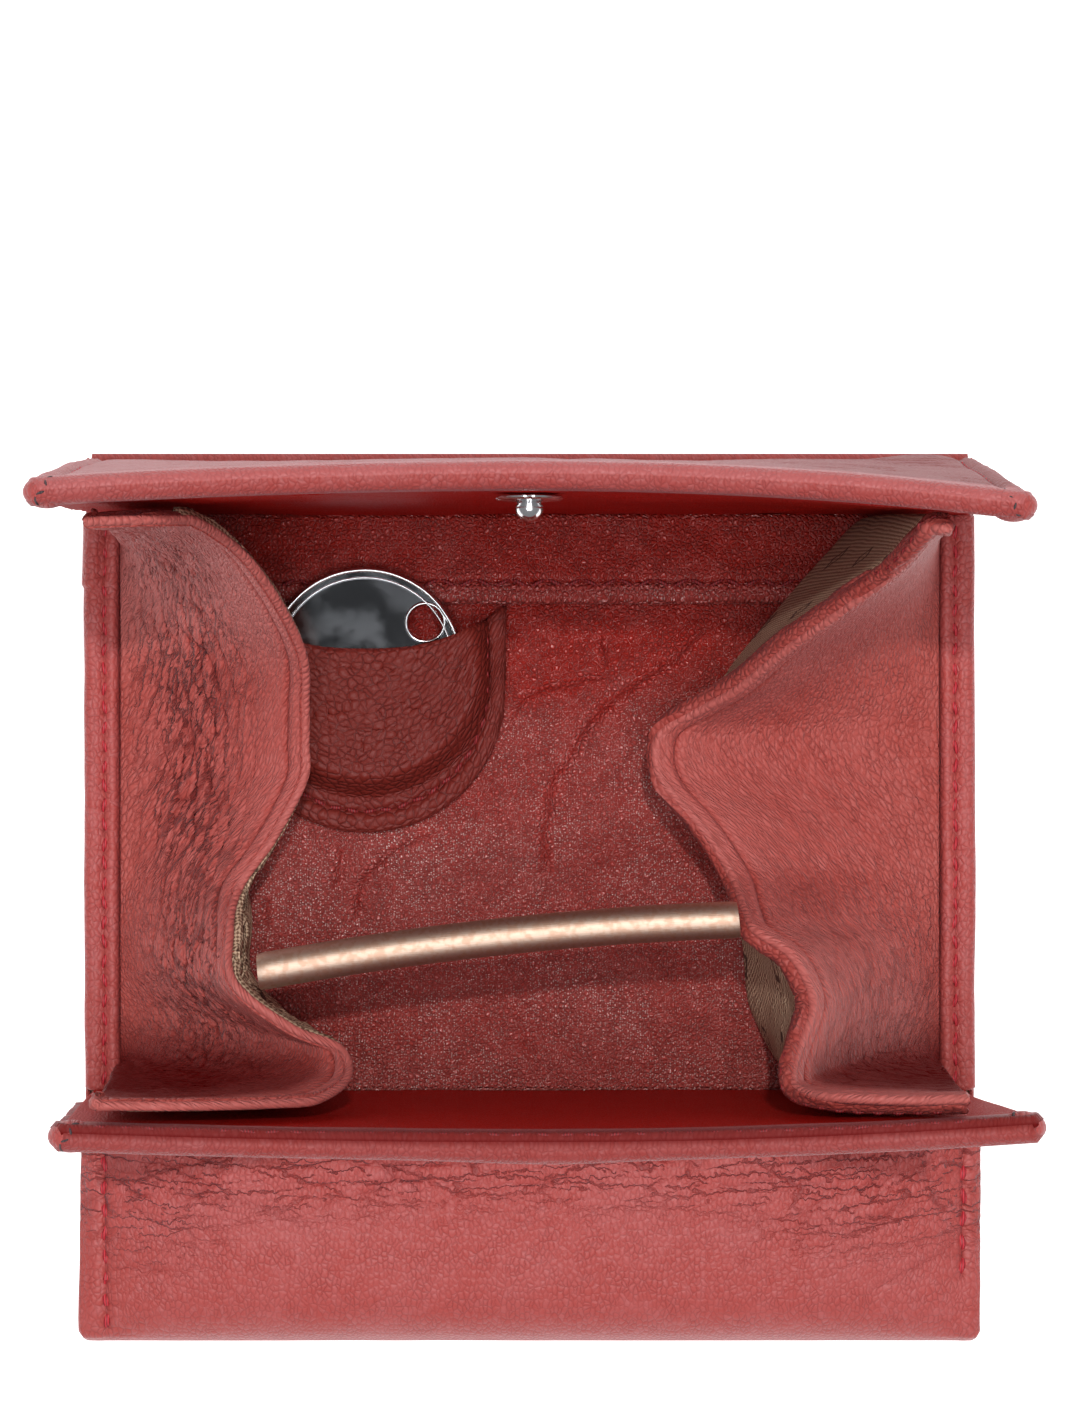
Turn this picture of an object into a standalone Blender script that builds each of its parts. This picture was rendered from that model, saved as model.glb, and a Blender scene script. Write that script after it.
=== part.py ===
"""Compact leather wallet with a fold-out coin box, lying on its back with the box open.

X runs across the wallet, Y from the bottom fold towards the flap, Z up.
The resting face of the back is Z = 0 and the origin lies on that face.
Flap and front wall are shown upright, which is their open stop.
"""

from math import acos, cos, hypot, pi, radians, sin, sqrt

import bmesh
import bpy
from mathutils import Vector
from mathutils.bvhtree import BVHTree

MM = 0.001

# Overall sizes
BODY_WIDTH = 104.6 * MM
BODY_CENTRE_X = -0.5 * MM
GAP = 0.3 * MM
BOX_BACK_Y = 23.2 * MM
BOX_DEPTH = 67.7 * MM
TOP_EDGE_Y = 30.5 * MM
BOTTOM_FOLD_Y = -74.5 * MM

# Layers of the rear section, from the resting face upwards
BACK_LEATHER_T = 1.4 * MM
BACK_LINING_T = 0.6 * MM
CARD_POCKET_T = 0.7 * MM
DIVIDER_T = 0.8 * MM
BASE_BOARD_T = 1.2 * MM
FLOOR_LINING_T = 0.8 * MM
TOP_STEP = 0.8 * MM
CARD_MOUTH_DEPTH = 26.0 * MM
CARD_MOUTH_STEP = 8.0 * MM
BOARD_CORNER_R = 2.0 * MM

# Front panel over the bottom fold
FOLD_REACH = 6.2 * MM
FRONT_PANEL_CREST_SHARES = (
    (1.00, 0.50),
    (0.95, 0.68),
    (0.86, 0.82),
    (0.70, 0.91),
    (0.45, 0.97),
    (0.20, 1.00),
    (0.02, 1.00),
)
SEAM_PINCH_SHARE = 0.16
PANEL_LINING_T = 0.6 * MM

# Side bindings and the strip under the flap
BINDING_WIDTH = 3.4 * MM
BINDING_T = 1.2 * MM
STRIP_DEPTH = 9.3 * MM
STRIP_T = 1.0 * MM
LIFT_RAMP = 5.0 * MM

# Front wall
WALL_HINGE_HEIGHT = 7.0 * MM
WALL_LIP_HEIGHT = 47.5 * MM
WALL_LEAN = 2.0 * MM
WALL_BOW_LEFT = 1.0 * MM
WALL_BOW_RIGHT = 2.0 * MM
WALL_CLOSED_ANGLE = radians(92.5)

# Flap
FLAP_HINGE_HEIGHT = 11.5 * MM
FLAP_LIP_HEIGHT = 54.0 * MM
FLAP_CENTRE_X = -0.4 * MM
FLAP_BOW_LEFT = 1.8 * MM
FLAP_BOW_RIGHT = 3.3 * MM
FLAP_ROOT_EXTRA = 2.8 * MM

# Build-up of the flap and the front wall
PANEL_LEATHER_T = 1.2 * MM
PANEL_DEPTH = 3.0 * MM
HEM_DEPTH = 4.1 * MM
LIP_CORNER_R = 3.0 * MM
WALL_LINING_T = 0.6 * MM
WALL_STIFFENER_T = 0.6 * MM
FLAP_LINING_T = 0.8 * MM
FLAP_STIFFENER_T = 0.8 * MM
INNER_INSET = 2.0 * MM
PADDING_MIN_T = 0.35 * MM

# Snap fastener
STUD_X = -0.5 * MM
STUD_BELOW_LIP = 8.0 * MM
STUD_BASE_R = 3.6 * MM
STUD_BASE_T = 0.5 * MM
STUD_POST_R = 1.2 * MM
STUD_BALL_R = 1.55 * MM
STUD_LENGTH = 3.0 * MM
SOCKET_R = 5.0 * MM
SOCKET_T = 1.8 * MM
SOCKET_HOLE_R = 1.9 * MM
SOCKET_PROUD = 0.6 * MM
SPRING_RING_R = 2.4 * MM
SPRING_WIRE_R = 0.22 * MM
SPRING_GROOVE_DEPTH = 1.1 * MM
BACK_PLATE_R = 3.4 * MM
BACK_PLATE_T = 0.4 * MM
SNAP_EDGE_R = 0.2 * MM

# Token and its pocket
TOKEN_R = 11.6 * MM
TOKEN_T = 1.8 * MM
TOKEN_RIM_WIDTH = 1.0 * MM
TOKEN_RIM_STEP = 0.25 * MM
TOKEN_X = -19.85 * MM
TOKEN_Y = 5.4 * MM
TOKEN_HOLE_R = 2.1 * MM
TOKEN_HOLE_OFFSET = 8.75 * MM
TOKEN_HOLE_ANGLE = radians(35.7)
POCKET_HALF_WIDTH = 16.4 * MM
POCKET_T = 1.0 * MM
POCKET_BOTTOM_BELOW_TOKEN = 19.2 * MM
POCKET_MOUTH_ABOVE_TOKEN = 1.6 * MM
POCKET_MOUTH_RISE = 5.2 * MM
POCKET_EDGE_WIDTH = 2.9 * MM
POCKET_EASE = 1.7 * MM

# Spreader rod
ROD_R = 2.1 * MM
ROD_WALL = 0.4 * MM
ROD_BOW = 1.0 * MM
ROD_HEIGHT_SHARE = 0.389
ROD_END_SHARES = ((-0.620, 0.775), (0.478, 0.688))

# Side gussets
GUSSET_LEATHER_T = 1.2 * MM
GUSSET_LINING_T = 0.7 * MM
LINING_FOOT_HEIGHT = 0.65 * MM
SPACING_SPARE = 0.25 * MM
GUSSET_SAG_POWER_SHARE = 1.08
LINING_FALL_POWER_SHARE = 1.5
LINING_TOP_SHARE = 0.95
WRONG_SIDE_SHARE = 0.7
GUSSET_ROWS = 9

# Free edge of each gusset, from the flap to the front wall. Each row holds the inward
# reach as a share of the half width, the distance from the flap as a share of the box
# depth, the height as a share of the flap's lip height, the place of the base point as
# a share of the box depth, and the place of the lining's foot as shares of the half
# width and the box depth.
LEFT_EDGE_SHARES = (
    (0.020, 0.030, 0.925, 0.040, 0.045, 0.010),
    (0.090, 0.030, 0.905, 0.045, 0.070, 0.012),
    (0.183, 0.032, 0.851, 0.060, 0.100, 0.020),
    (0.260, 0.040, 0.759, 0.085, 0.130, 0.045),
    (0.355, 0.088, 0.592, 0.130, 0.165, 0.090),
    (0.432, 0.174, 0.426, 0.190, 0.190, 0.160),
    (0.473, 0.255, 0.296, 0.265, 0.205, 0.250),
    (0.472, 0.330, 0.222, 0.340, 0.210, 0.330),
    (0.470, 0.397, 0.193, 0.400, 0.215, 0.400),
    (0.465, 0.459, 0.191, 0.460, 0.225, 0.460),
    (0.391, 0.561, 0.191, 0.555, 0.260, 0.550),
    (0.315, 0.640, 0.198, 0.630, 0.310, 0.625),
    (0.302, 0.709, 0.296, 0.690, 0.330, 0.700),
    (0.320, 0.795, 0.385, 0.755, 0.345, 0.785),
    (0.450, 0.868, 0.407, 0.812, 0.430, 0.855),
    (0.569, 0.901, 0.444, 0.850, 0.470, 0.890),
    (0.585, 0.940, 0.519, 0.890, 0.470, 0.930),
    (0.535, 0.962, 0.630, 0.910, 0.430, 0.960),
    (0.473, 0.966, 0.685, 0.930, 0.360, 0.975),
    (0.283, 0.968, 0.778, 0.945, 0.220, 0.985),
    (0.086, 0.968, 0.833, 0.950, 0.075, 0.988),
    (0.020, 0.968, 0.842, 0.953, 0.045, 0.990),
)
RIGHT_EDGE_SHARES = (
    (0.020, 0.050, 0.900, 0.040, 0.120, 0.010),
    (0.083, 0.060, 0.889, 0.050, 0.205, 0.010),
    (0.190, 0.117, 0.741, 0.085, 0.290, 0.070),
    (0.287, 0.175, 0.611, 0.130, 0.370, 0.135),
    (0.410, 0.241, 0.463, 0.185, 0.450, 0.205),
    (0.515, 0.306, 0.333, 0.260, 0.520, 0.270),
    (0.603, 0.343, 0.250, 0.320, 0.555, 0.320),
    (0.672, 0.370, 0.207, 0.360, 0.575, 0.360),
    (0.700, 0.402, 0.193, 0.400, 0.580, 0.400),
    (0.685, 0.459, 0.191, 0.460, 0.570, 0.460),
    (0.596, 0.535, 0.191, 0.530, 0.530, 0.530),
    (0.524, 0.617, 0.200, 0.600, 0.500, 0.600),
    (0.500, 0.671, 0.296, 0.650, 0.500, 0.660),
    (0.480, 0.703, 0.370, 0.690, 0.495, 0.710),
    (0.401, 0.741, 0.407, 0.740, 0.485, 0.760),
    (0.358, 0.797, 0.444, 0.790, 0.480, 0.810),
    (0.357, 0.839, 0.481, 0.830, 0.470, 0.855),
    (0.388, 0.890, 0.537, 0.865, 0.440, 0.905),
    (0.408, 0.925, 0.593, 0.890, 0.410, 0.940),
    (0.400, 0.948, 0.648, 0.910, 0.360, 0.965),
    (0.321, 0.952, 0.741, 0.930, 0.280, 0.980),
    (0.152, 0.952, 0.796, 0.945, 0.145, 0.988),
    (0.020, 0.950, 0.842, 0.950, 0.045, 0.990),
)

# Sizes that follow from the ones above
BODY_HALF = BODY_WIDTH / 2
FLAP_WIDTH = BODY_WIDTH
WALL_WIDTH = BODY_WIDTH
GUSSET_EDGE_HALF = BODY_HALF - BINDING_WIDTH + GAP
BACK_LINING_Z = BACK_LEATHER_T + GAP
CARD_LOW_Z = BACK_LINING_Z + BACK_LINING_T + GAP
CARD_MID_Z = CARD_LOW_Z + CARD_POCKET_T + GAP
CARD_HIGH_Z = CARD_MID_Z + CARD_POCKET_T + GAP
DIVIDER_Z = CARD_HIGH_Z + CARD_POCKET_T + GAP
BASE_BOARD_Z = DIVIDER_Z + DIVIDER_T + GAP
FLOOR_LINING_Z = BASE_BOARD_Z + BASE_BOARD_T + GAP
FLOOR_Z = FLOOR_LINING_Z + FLOOR_LINING_T
BOX_FRONT_Y = BOX_BACK_Y - BOX_DEPTH
STACK_FRONT_Y = BOTTOM_FOLD_Y + BACK_LEATHER_T + FOLD_REACH
FLAP_OUTER_Y = BOX_BACK_Y + PANEL_DEPTH + FLAP_ROOT_EXTRA
STUD_HEIGHT = FLAP_LIP_HEIGHT - STUD_BELOW_LIP
GUSSET_BASE_X = BODY_HALF - BINDING_WIDTH - GAP - GUSSET_LEATHER_T / 2

# Colours and finishes
LEATHER = ((0.46, 0.085, 0.088, 1.0), 0.55, 0.0)
LEATHER_LIGHT = ((0.52, 0.10, 0.095, 1.0), 0.55, 0.0)
LEATHER_DARK = ((0.27, 0.028, 0.028, 1.0), 0.42, 0.0)
POCKET_LEATHER = ((0.19, 0.035, 0.032, 1.0), 0.60, 0.0)
FABRIC = ((0.32, 0.22, 0.15, 1.0), 0.85, 0.0)
BOARD = ((0.40, 0.33, 0.24, 1.0), 0.90, 0.0)
FLEECE = ((0.70, 0.67, 0.60, 1.0), 0.95, 0.0)
CHROME = ((0.82, 0.83, 0.85, 1.0), 0.12, 1.0)
COPPER = ((0.55, 0.34, 0.24, 1.0), 0.30, 1.0)


def remove_everything():
    for existing in list(bpy.data.objects):
        bpy.data.objects.remove(existing, do_unlink=True)


def finish_material(name, finish):
    colour, roughness, metallic = finish
    material = bpy.data.materials.new(name)
    material.use_nodes = True
    shader = material.node_tree.nodes["Principled BSDF"]
    shader.inputs["Base Color"].default_value = colour
    shader.inputs["Roughness"].default_value = roughness
    shader.inputs["Metallic"].default_value = metallic
    return material


def object_from_faces(name, points, faces, finish, pivot=None):
    """A closed mesh object with outward faces, whose origin is on its pivot."""
    pivot = pivot or Vector()
    mesh = bpy.data.meshes.new(name)
    mesh.from_pydata([Vector(point) - pivot for point in points], [], faces)
    work = bmesh.new()
    work.from_mesh(mesh)
    bmesh.ops.recalc_face_normals(work, faces=work.faces)
    if work.calc_volume(signed=True) < 0:
        bmesh.ops.reverse_faces(work, faces=work.faces)
    work.to_mesh(mesh)
    work.free()
    mesh.shade_smooth()
    mesh.set_sharp_from_angle(angle=radians(40))
    mesh.materials.append(finish_material(name, finish))
    created = bpy.data.objects.new(name, mesh)
    created.location = pivot
    bpy.context.scene.collection.objects.link(created)
    return created


def shell(name, front, back, finish, pivot=None):
    """The solid between two grids of points with the same rows and columns."""
    rows = len(front)
    columns = len(front[0])
    points = [point for row in front for point in row]
    points += [point for row in back for point in row]
    offset = rows * columns

    def front_index(row, column):
        return row * columns + column

    def back_index(row, column):
        return offset + row * columns + column

    faces = []
    for row in range(rows - 1):
        for column in range(columns - 1):
            corners = ((row, column), (row, column + 1), (row + 1, column + 1), (row + 1, column))
            faces.append([front_index(*corner) for corner in corners])
            faces.append([back_index(*corner) for corner in reversed(corners)])
    border = [(0, column) for column in range(columns)]
    border += [(row, columns - 1) for row in range(1, rows)]
    border += [(rows - 1, column) for column in range(columns - 2, -1, -1)]
    border += [(row, 0) for row in range(rows - 2, 0, -1)]
    for here, there in zip(border, border[1:] + border[:1]):
        faces.append([front_index(*here), back_index(*here), back_index(*there), front_index(*there)])
    return object_from_faces(name, points, faces, finish, pivot)


def grid_normals(grid):
    """Unit normals of a grid of points, from the neighbours along each direction."""
    rows = len(grid)
    columns = len(grid[0])
    normals = []
    for row in range(rows):
        line = []
        for column in range(columns):
            down = grid[min(row + 1, rows - 1)][column] - grid[max(row - 1, 0)][column]
            across = grid[row][min(column + 1, columns - 1)] - grid[row][max(column - 1, 0)]
            line.append(across.cross(down).normalized())
        normals.append(line)
    return normals


def sheet(name, grid, thickness, finish, pivot=None):
    """A sheet of even thickness around a grid of points on its middle surface."""
    normals = grid_normals(grid)
    half = thickness / 2
    front = [[p + n * half for p, n in zip(*pair)] for pair in zip(grid, normals)]
    back = [[p - n * half for p, n in zip(*pair)] for pair in zip(grid, normals)]
    return shell(name, front, back, finish, pivot)


def spread(first, last, count):
    """Evenly spaced values from first to last."""
    return [first + (last - first) * step / (count - 1) for step in range(count)]


def smooth_step(low, high, value):
    share = min(max((value - low) / (high - low), 0), 1)
    return share * share * (3 - 2 * share)


def smooth_rows(rows, count):
    """Points on a smooth curve through rows of numbers, count of them, by row number."""
    result = []
    for place in spread(0, len(rows) - 1, count):
        index = min(int(place), len(rows) - 2)
        t = place - index
        before = rows[max(index - 1, 0)]
        start = rows[index]
        end = rows[index + 1]
        after = rows[min(index + 2, len(rows) - 1)]
        point = []
        for a, b, c, d in zip(before, start, end, after):
            cubic = 2 * b + (c - a) * t + (2 * a - 5 * b + 4 * c - d) * t ** 2
            cubic += (3 * b - a - 3 * c + d) * t ** 3
            point.append(cubic / 2)
        result.append(point)
    return result


def board(name, width, front_y, back_y, bottom, thickness, finish):
    """A flat rectangular layer with rounded corners."""
    half = width / 2
    corner = min(BOARD_CORNER_R, half / 2)
    outline = []
    for x_sign, y_value, y_sign, start in (
        (1, front_y, 1, -90),
        (1, back_y, -1, 0),
        (-1, back_y, -1, 90),
        (-1, front_y, 1, 180),
    ):
        centre_x = BODY_CENTRE_X + x_sign * (half - corner)
        centre_y = y_value + y_sign * corner
        for degrees in spread(start, start + 90, 4):
            angle = radians(degrees)
            outline.append((centre_x + corner * cos(angle), centre_y + corner * sin(angle)))
    count = len(outline)
    points = [(x, y, bottom) for x, y in outline]
    points += [(x, y, bottom + thickness) for x, y in outline]
    faces = [list(reversed(range(count))), list(range(count, 2 * count))]
    for index in range(count):
        following = (index + 1) % count
        faces.append([index, following, count + following, count + index])
    return object_from_faces(name, points, faces, finish)


def turned(name, profile, segments, place, finish, closed=False, pivot=None):
    """A turned body. The profile lists radius and height, place maps a point to the world."""
    points = []
    rings = []
    for radius, height in profile:
        ring = []
        for step in range(segments):
            angle = 2 * pi * step / segments
            ring.append(len(points))
            points.append(place(radius * cos(angle), radius * sin(angle), height))
        rings.append(ring)
    faces = []
    pairs = list(zip(rings, rings[1:]))
    if closed:
        pairs.append((rings[-1], rings[0]))
    else:
        faces.append(list(reversed(rings[0])))
        faces.append(list(rings[-1]))
    for lower, upper in pairs:
        for step in range(segments):
            following = (step + 1) % segments
            faces.append([lower[step], lower[following], upper[following], upper[step]])
    return object_from_faces(name, points, faces, finish, pivot)


def make_rear_section():
    """Layers under the box floor: card pockets, bill divider and the base board."""
    inner_width = BODY_WIDTH - 2 * GAP
    top = TOP_EDGE_Y - TOP_STEP
    board("back_lining", inner_width, STACK_FRONT_Y, top, BACK_LINING_Z, BACK_LINING_T, FABRIC)
    pockets = (
        ("card_pocket_low", CARD_LOW_Z, 2),
        ("card_pocket_mid", CARD_MID_Z, 1),
        ("card_pocket_high", CARD_HIGH_Z, 0),
    )
    for name, height, steps in pockets:
        mouth = TOP_EDGE_Y - CARD_MOUTH_DEPTH - steps * CARD_MOUTH_STEP
        board(name, inner_width, STACK_FRONT_Y, mouth, height, CARD_POCKET_T, LEATHER_DARK)
    board("bill_divider", inner_width, STACK_FRONT_Y, top, DIVIDER_Z, DIVIDER_T, LEATHER_DARK)
    board_back = FLAP_OUTER_Y
    board("base_board", inner_width, STACK_FRONT_Y, board_back, BASE_BOARD_Z, BASE_BOARD_T, BOARD)
    floor_width = 2 * GUSSET_BASE_X
    board(
        "floor_lining",
        floor_width,
        BOX_FRONT_Y + GAP,
        BOX_BACK_Y - GAP,
        FLOOR_LINING_Z,
        FLOOR_LINING_T,
        LEATHER_DARK,
    )


def front_panel_path():
    """Middle line of the outer leather in Y and Z, from the top edge round the bottom fold."""
    half = BACK_LEATHER_T / 2
    hinge_z = FLOOR_Z + WALL_HINGE_HEIGHT - half
    near = BOX_FRONT_Y - PANEL_DEPTH / 2
    far = BOTTOM_FOLD_Y + half
    path = [(y, half) for y in spread(TOP_EDGE_Y, far + FOLD_REACH, 9)]
    for degrees in (22, 45, 68):
        angle = radians(degrees)
        drop = hinge_z / 2 - half
        path.append((far + FOLD_REACH * (1 - sin(angle)), half + drop * (1 - cos(angle))))
    for along, height in FRONT_PANEL_CREST_SHARES:
        path.append((near + (far - near) * along, hinge_z * height))
    return path


def make_outer_leather():
    """One piece of leather: the back, the bottom fold and the front panel."""
    seam_z = FLOOR_LINING_Z + BACK_LEATHER_T / 2
    grid = []
    for y, z in front_panel_path():
        row = []
        for share in spread(-1, 1, 15):
            pinch = SEAM_PINCH_SHARE + (1 - SEAM_PINCH_SHARE) * (1 - abs(share) ** 6)
            height = z if z < seam_z else seam_z + (z - seam_z) * pinch
            row.append(Vector((BODY_CENTRE_X + share * BODY_HALF, y, height)))
        grid.append(row)
    sheet("outer_leather", grid, BACK_LEATHER_T, LEATHER)


def make_front_panel_lining():
    """Lining glued under the puffed part of the front panel."""
    path = front_panel_path()[-4:-1]
    seam_z = FLOOR_LINING_Z + BACK_LEATHER_T / 2
    drop = (BACK_LEATHER_T + PANEL_LINING_T) / 2 + GAP
    half = BODY_HALF - 2 * BINDING_WIDTH
    grid = []
    for y, z in path:
        row = []
        for share in spread(-1, 1, 9):
            across = share * half / BODY_HALF
            pinch = SEAM_PINCH_SHARE + (1 - SEAM_PINCH_SHARE) * (1 - abs(across) ** 6)
            height = seam_z + (z - seam_z) * pinch - drop
            row.append(Vector((BODY_CENTRE_X + share * half, y, height)))
        grid.append(row)
    sheet("front_panel_lining", grid, PANEL_LINING_T, FABRIC)


def make_bindings():
    """Stitched edge bands on both sides of the box."""
    for name, side in (("binding_left", -1), ("binding_right", 1)):
        outer = BODY_CENTRE_X + side * BODY_HALF
        inner = BODY_CENTRE_X + side * (BODY_HALF - BINDING_WIDTH)
        bottom = FLOOR_LINING_Z
        crown = (0.0, 0.75, 1.0, 1.0, 0.75, 0.0)
        top_rows = []
        bottom_rows = []
        for y in (BOX_FRONT_Y + GAP, BOX_BACK_Y - GAP):
            across = spread(outer, inner, len(crown))
            top_rows.append(
                [
                    Vector((x, y, bottom + BINDING_T / 2 + BINDING_T / 2 * lift))
                    for x, lift in zip(across, crown)
                ]
            )
            bottom_rows.append([Vector((x, y, bottom)) for x in across])
        shell(name, top_rows, bottom_rows, LEATHER)


def make_interior_strip():
    """Flat leather band on the floor under the flap."""
    back = BOX_BACK_Y - GAP
    board(
        "interior_strip",
        2 * GUSSET_BASE_X - 2 * BINDING_WIDTH,
        back - STRIP_DEPTH,
        back,
        FLOOR_Z + GAP,
        STRIP_T,
        LEATHER_DARK,
    )


def make_spine():
    """Fixed band that carries the flap's hinge, above the base board."""
    bottom = FLOOR_LINING_Z
    top = FLOOR_Z + FLAP_HINGE_HEIGHT
    xs = spread(BODY_CENTRE_X - BODY_HALF, BODY_CENTRE_X + BODY_HALF, 3)
    layers = (
        ("spine_lining", BOX_BACK_Y, FLAP_LINING_T, LEATHER_DARK),
        (
            "spine_padding",
            BOX_BACK_Y + FLAP_LINING_T + GAP,
            FLAP_OUTER_Y - BOX_BACK_Y - FLAP_LINING_T - PANEL_LEATHER_T - 2 * GAP,
            FLEECE,
        ),
        ("spine_leather", FLAP_OUTER_Y - PANEL_LEATHER_T, PANEL_LEATHER_T, LEATHER),
    )
    for name, y, thickness, finish in layers:
        front = [[Vector((x, y, z)) for x in xs] for z in spread(bottom, top, 3)]
        back = [[Vector((x, y + thickness, z)) for x in xs] for z in spread(bottom, top, 3)]
        shell(name, front, back, finish)


def make_front_hinge_lining():
    """Inner band between the floor and the front wall's hinge."""
    bottom = FLOOR_LINING_Z
    top = FLOOR_Z + WALL_HINGE_HEIGHT
    xs = spread(BODY_CENTRE_X - GUSSET_BASE_X, BODY_CENTRE_X + GUSSET_BASE_X, 3)
    y = BOX_FRONT_Y
    front = [[Vector((x, y - WALL_LINING_T, z)) for x in xs] for z in (bottom, top)]
    back = [[Vector((x, y, z)) for x in xs] for z in (bottom, top)]
    shell("front_hinge_lining", front, back, LEATHER_DARK)


def lip_narrowing(height, lip_height):
    """How far the rounded lip corner draws the side edge in at this height."""
    above = height - (lip_height - LIP_CORNER_R)
    if above <= 0:
        return 0.0
    above = min(above, LIP_CORNER_R)
    return LIP_CORNER_R - sqrt(LIP_CORNER_R ** 2 - above ** 2)


def flap_bow(share, height):
    rise = max(height - FLAP_HINGE_HEIGHT, 0) / (FLAP_LIP_HEIGHT - FLAP_HINGE_HEIGHT)
    bow = FLAP_BOW_LEFT if share < 0 else FLAP_BOW_RIGHT
    return bow * share ** 2 * rise


def wall_bow(share, height):
    rise = max(height - WALL_HINGE_HEIGHT, 0) / (WALL_LIP_HEIGHT - WALL_HINGE_HEIGHT)
    bow = WALL_BOW_LEFT if share < 0 else WALL_BOW_RIGHT
    return bow * share ** 2 * rise


def flap_point(share, outward, height, inset=0.0):
    """World point of the flap: share runs -1 to 1 across, outward from the inner face."""
    half = FLAP_WIDTH / 2 - inset - lip_narrowing(height, FLAP_LIP_HEIGHT)
    y = BOX_BACK_Y + outward - flap_bow(share * half / (FLAP_WIDTH / 2), height)
    return Vector((FLAP_CENTRE_X + share * half, y, FLOOR_Z + height))


def wall_point(share, outward, height, inset=0.0):
    """World point of the front wall, in the same terms as the flap's."""
    half = WALL_WIDTH / 2 - inset - lip_narrowing(height, WALL_LIP_HEIGHT)
    rise = (height - WALL_HINGE_HEIGHT) / (WALL_LIP_HEIGHT - WALL_HINGE_HEIGHT)
    y = BOX_FRONT_Y - outward + wall_bow(share * half / (WALL_WIDTH / 2), height)
    x = BODY_CENTRE_X + WALL_LEAN * rise + share * half
    return Vector((x, y, FLOOR_Z + height))


def turned_lip_path(lip_height, outer_path):
    """Middle line of a leather panel that rolls over its lip into a hem inside."""
    radius = (PANEL_DEPTH - PANEL_LEATHER_T) / 2
    centre_out = PANEL_DEPTH / 2
    centre_height = lip_height - PANEL_DEPTH / 2
    path = list(outer_path)
    for degrees in spread(0, 180, 7):
        angle = radians(degrees)
        path.append((centre_out + radius * cos(angle), centre_height + radius * sin(angle)))
    path.append((PANEL_LEATHER_T / 2, lip_height - HEM_DEPTH))
    return path


def flap_outer_line(height):
    """Distance of the flap leather's middle line from the inner face at a height."""
    lip_line = PANEL_DEPTH - PANEL_LEATHER_T / 2
    span = FLAP_LIP_HEIGHT - PANEL_DEPTH / 2 - FLAP_HINGE_HEIGHT
    down = (FLAP_LIP_HEIGHT - PANEL_DEPTH / 2 - height) / span
    return lip_line + FLAP_ROOT_EXTRA * min(max(down, 0), 1) ** 0.9


def panel_sheet(name, point, path, thickness, finish, pivot, inset=0.0, columns=13):
    grid = []
    for outward, height in path:
        grid.append([point(share, outward, height, inset) for share in spread(-1, 1, columns)])
    return sheet(name, grid, thickness, finish, pivot)


def flap_pivot():
    return Vector((FLAP_CENTRE_X, BOX_BACK_Y, FLOOR_Z + FLAP_HINGE_HEIGHT))


def wall_pivot():
    return Vector((BODY_CENTRE_X, BOX_FRONT_Y, FLOOR_Z + WALL_HINGE_HEIGHT))


def make_flap():
    pivot = flap_pivot()
    root = FLAP_HINGE_HEIGHT + GAP
    lip_base = FLAP_LIP_HEIGHT - PANEL_DEPTH
    outer = [(flap_outer_line(height), height) for height in spread(root, lip_base, 9)]
    path = turned_lip_path(FLAP_LIP_HEIGHT, outer)
    panel_sheet("flap_leather", flap_point, path, PANEL_LEATHER_T, LEATHER, pivot)

    lining_top = FLAP_LIP_HEIGHT - HEM_DEPTH - GAP
    middle = FLAP_LINING_T / 2
    path = [(middle, height) for height in spread(root, lining_top, 5)]
    panel_sheet("flap_lining", flap_point, path, FLAP_LINING_T, LEATHER_DARK, pivot, INNER_INSET)

    stiffener_top = STUD_HEIGHT - BACK_PLATE_R - GAP
    stiffener_out = FLAP_LINING_T + GAP + FLAP_STIFFENER_T / 2
    path = [(stiffener_out, height) for height in spread(root, stiffener_top, 5)]
    panel_sheet("flap_stiffener", flap_point, path, FLAP_STIFFENER_T, BOARD, pivot, INNER_INSET)

    near = FLAP_LINING_T + FLAP_STIFFENER_T + 2 * GAP
    spare = PANEL_LEATHER_T / 2 + GAP
    heights = [root]
    while flap_outer_line(heights[-1]) - spare - near > PADDING_MIN_T:
        heights.append(heights[-1] + 2 * HEM_DEPTH)
    heights.pop()
    shares = spread(-1, 1, 13)
    front = [[flap_point(s, near, h, INNER_INSET) for s in shares] for h in heights]
    back = [
        [flap_point(s, flap_outer_line(h) - spare, h, INNER_INSET) for s in shares]
        for h in heights
    ]
    shell("flap_padding", front, back, FLEECE, pivot)


def make_front_wall():
    pivot = wall_pivot()
    root = WALL_HINGE_HEIGHT + GAP
    lip_base = WALL_LIP_HEIGHT - PANEL_DEPTH
    line = PANEL_DEPTH - PANEL_LEATHER_T / 2
    outer = [(line, height) for height in spread(root, lip_base, 7)]
    path = turned_lip_path(WALL_LIP_HEIGHT, outer)
    leather = panel_sheet("wall_leather", wall_point, path, PANEL_LEATHER_T, LEATHER, pivot)
    cut_socket_hole(leather)

    lining_top = WALL_LIP_HEIGHT - HEM_DEPTH - GAP
    path = [(WALL_LINING_T / 2, height) for height in spread(root, lining_top, 5)]
    panel_sheet("wall_lining", wall_point, path, WALL_LINING_T, LEATHER_DARK, pivot, INNER_INSET)

    stiffener_out = WALL_LINING_T + GAP + WALL_STIFFENER_T / 2
    path = [(stiffener_out, height) for height in spread(root, lining_top, 5)]
    panel_sheet("wall_stiffener", wall_point, path, WALL_STIFFENER_T, BOARD, pivot, INNER_INSET)


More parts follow.
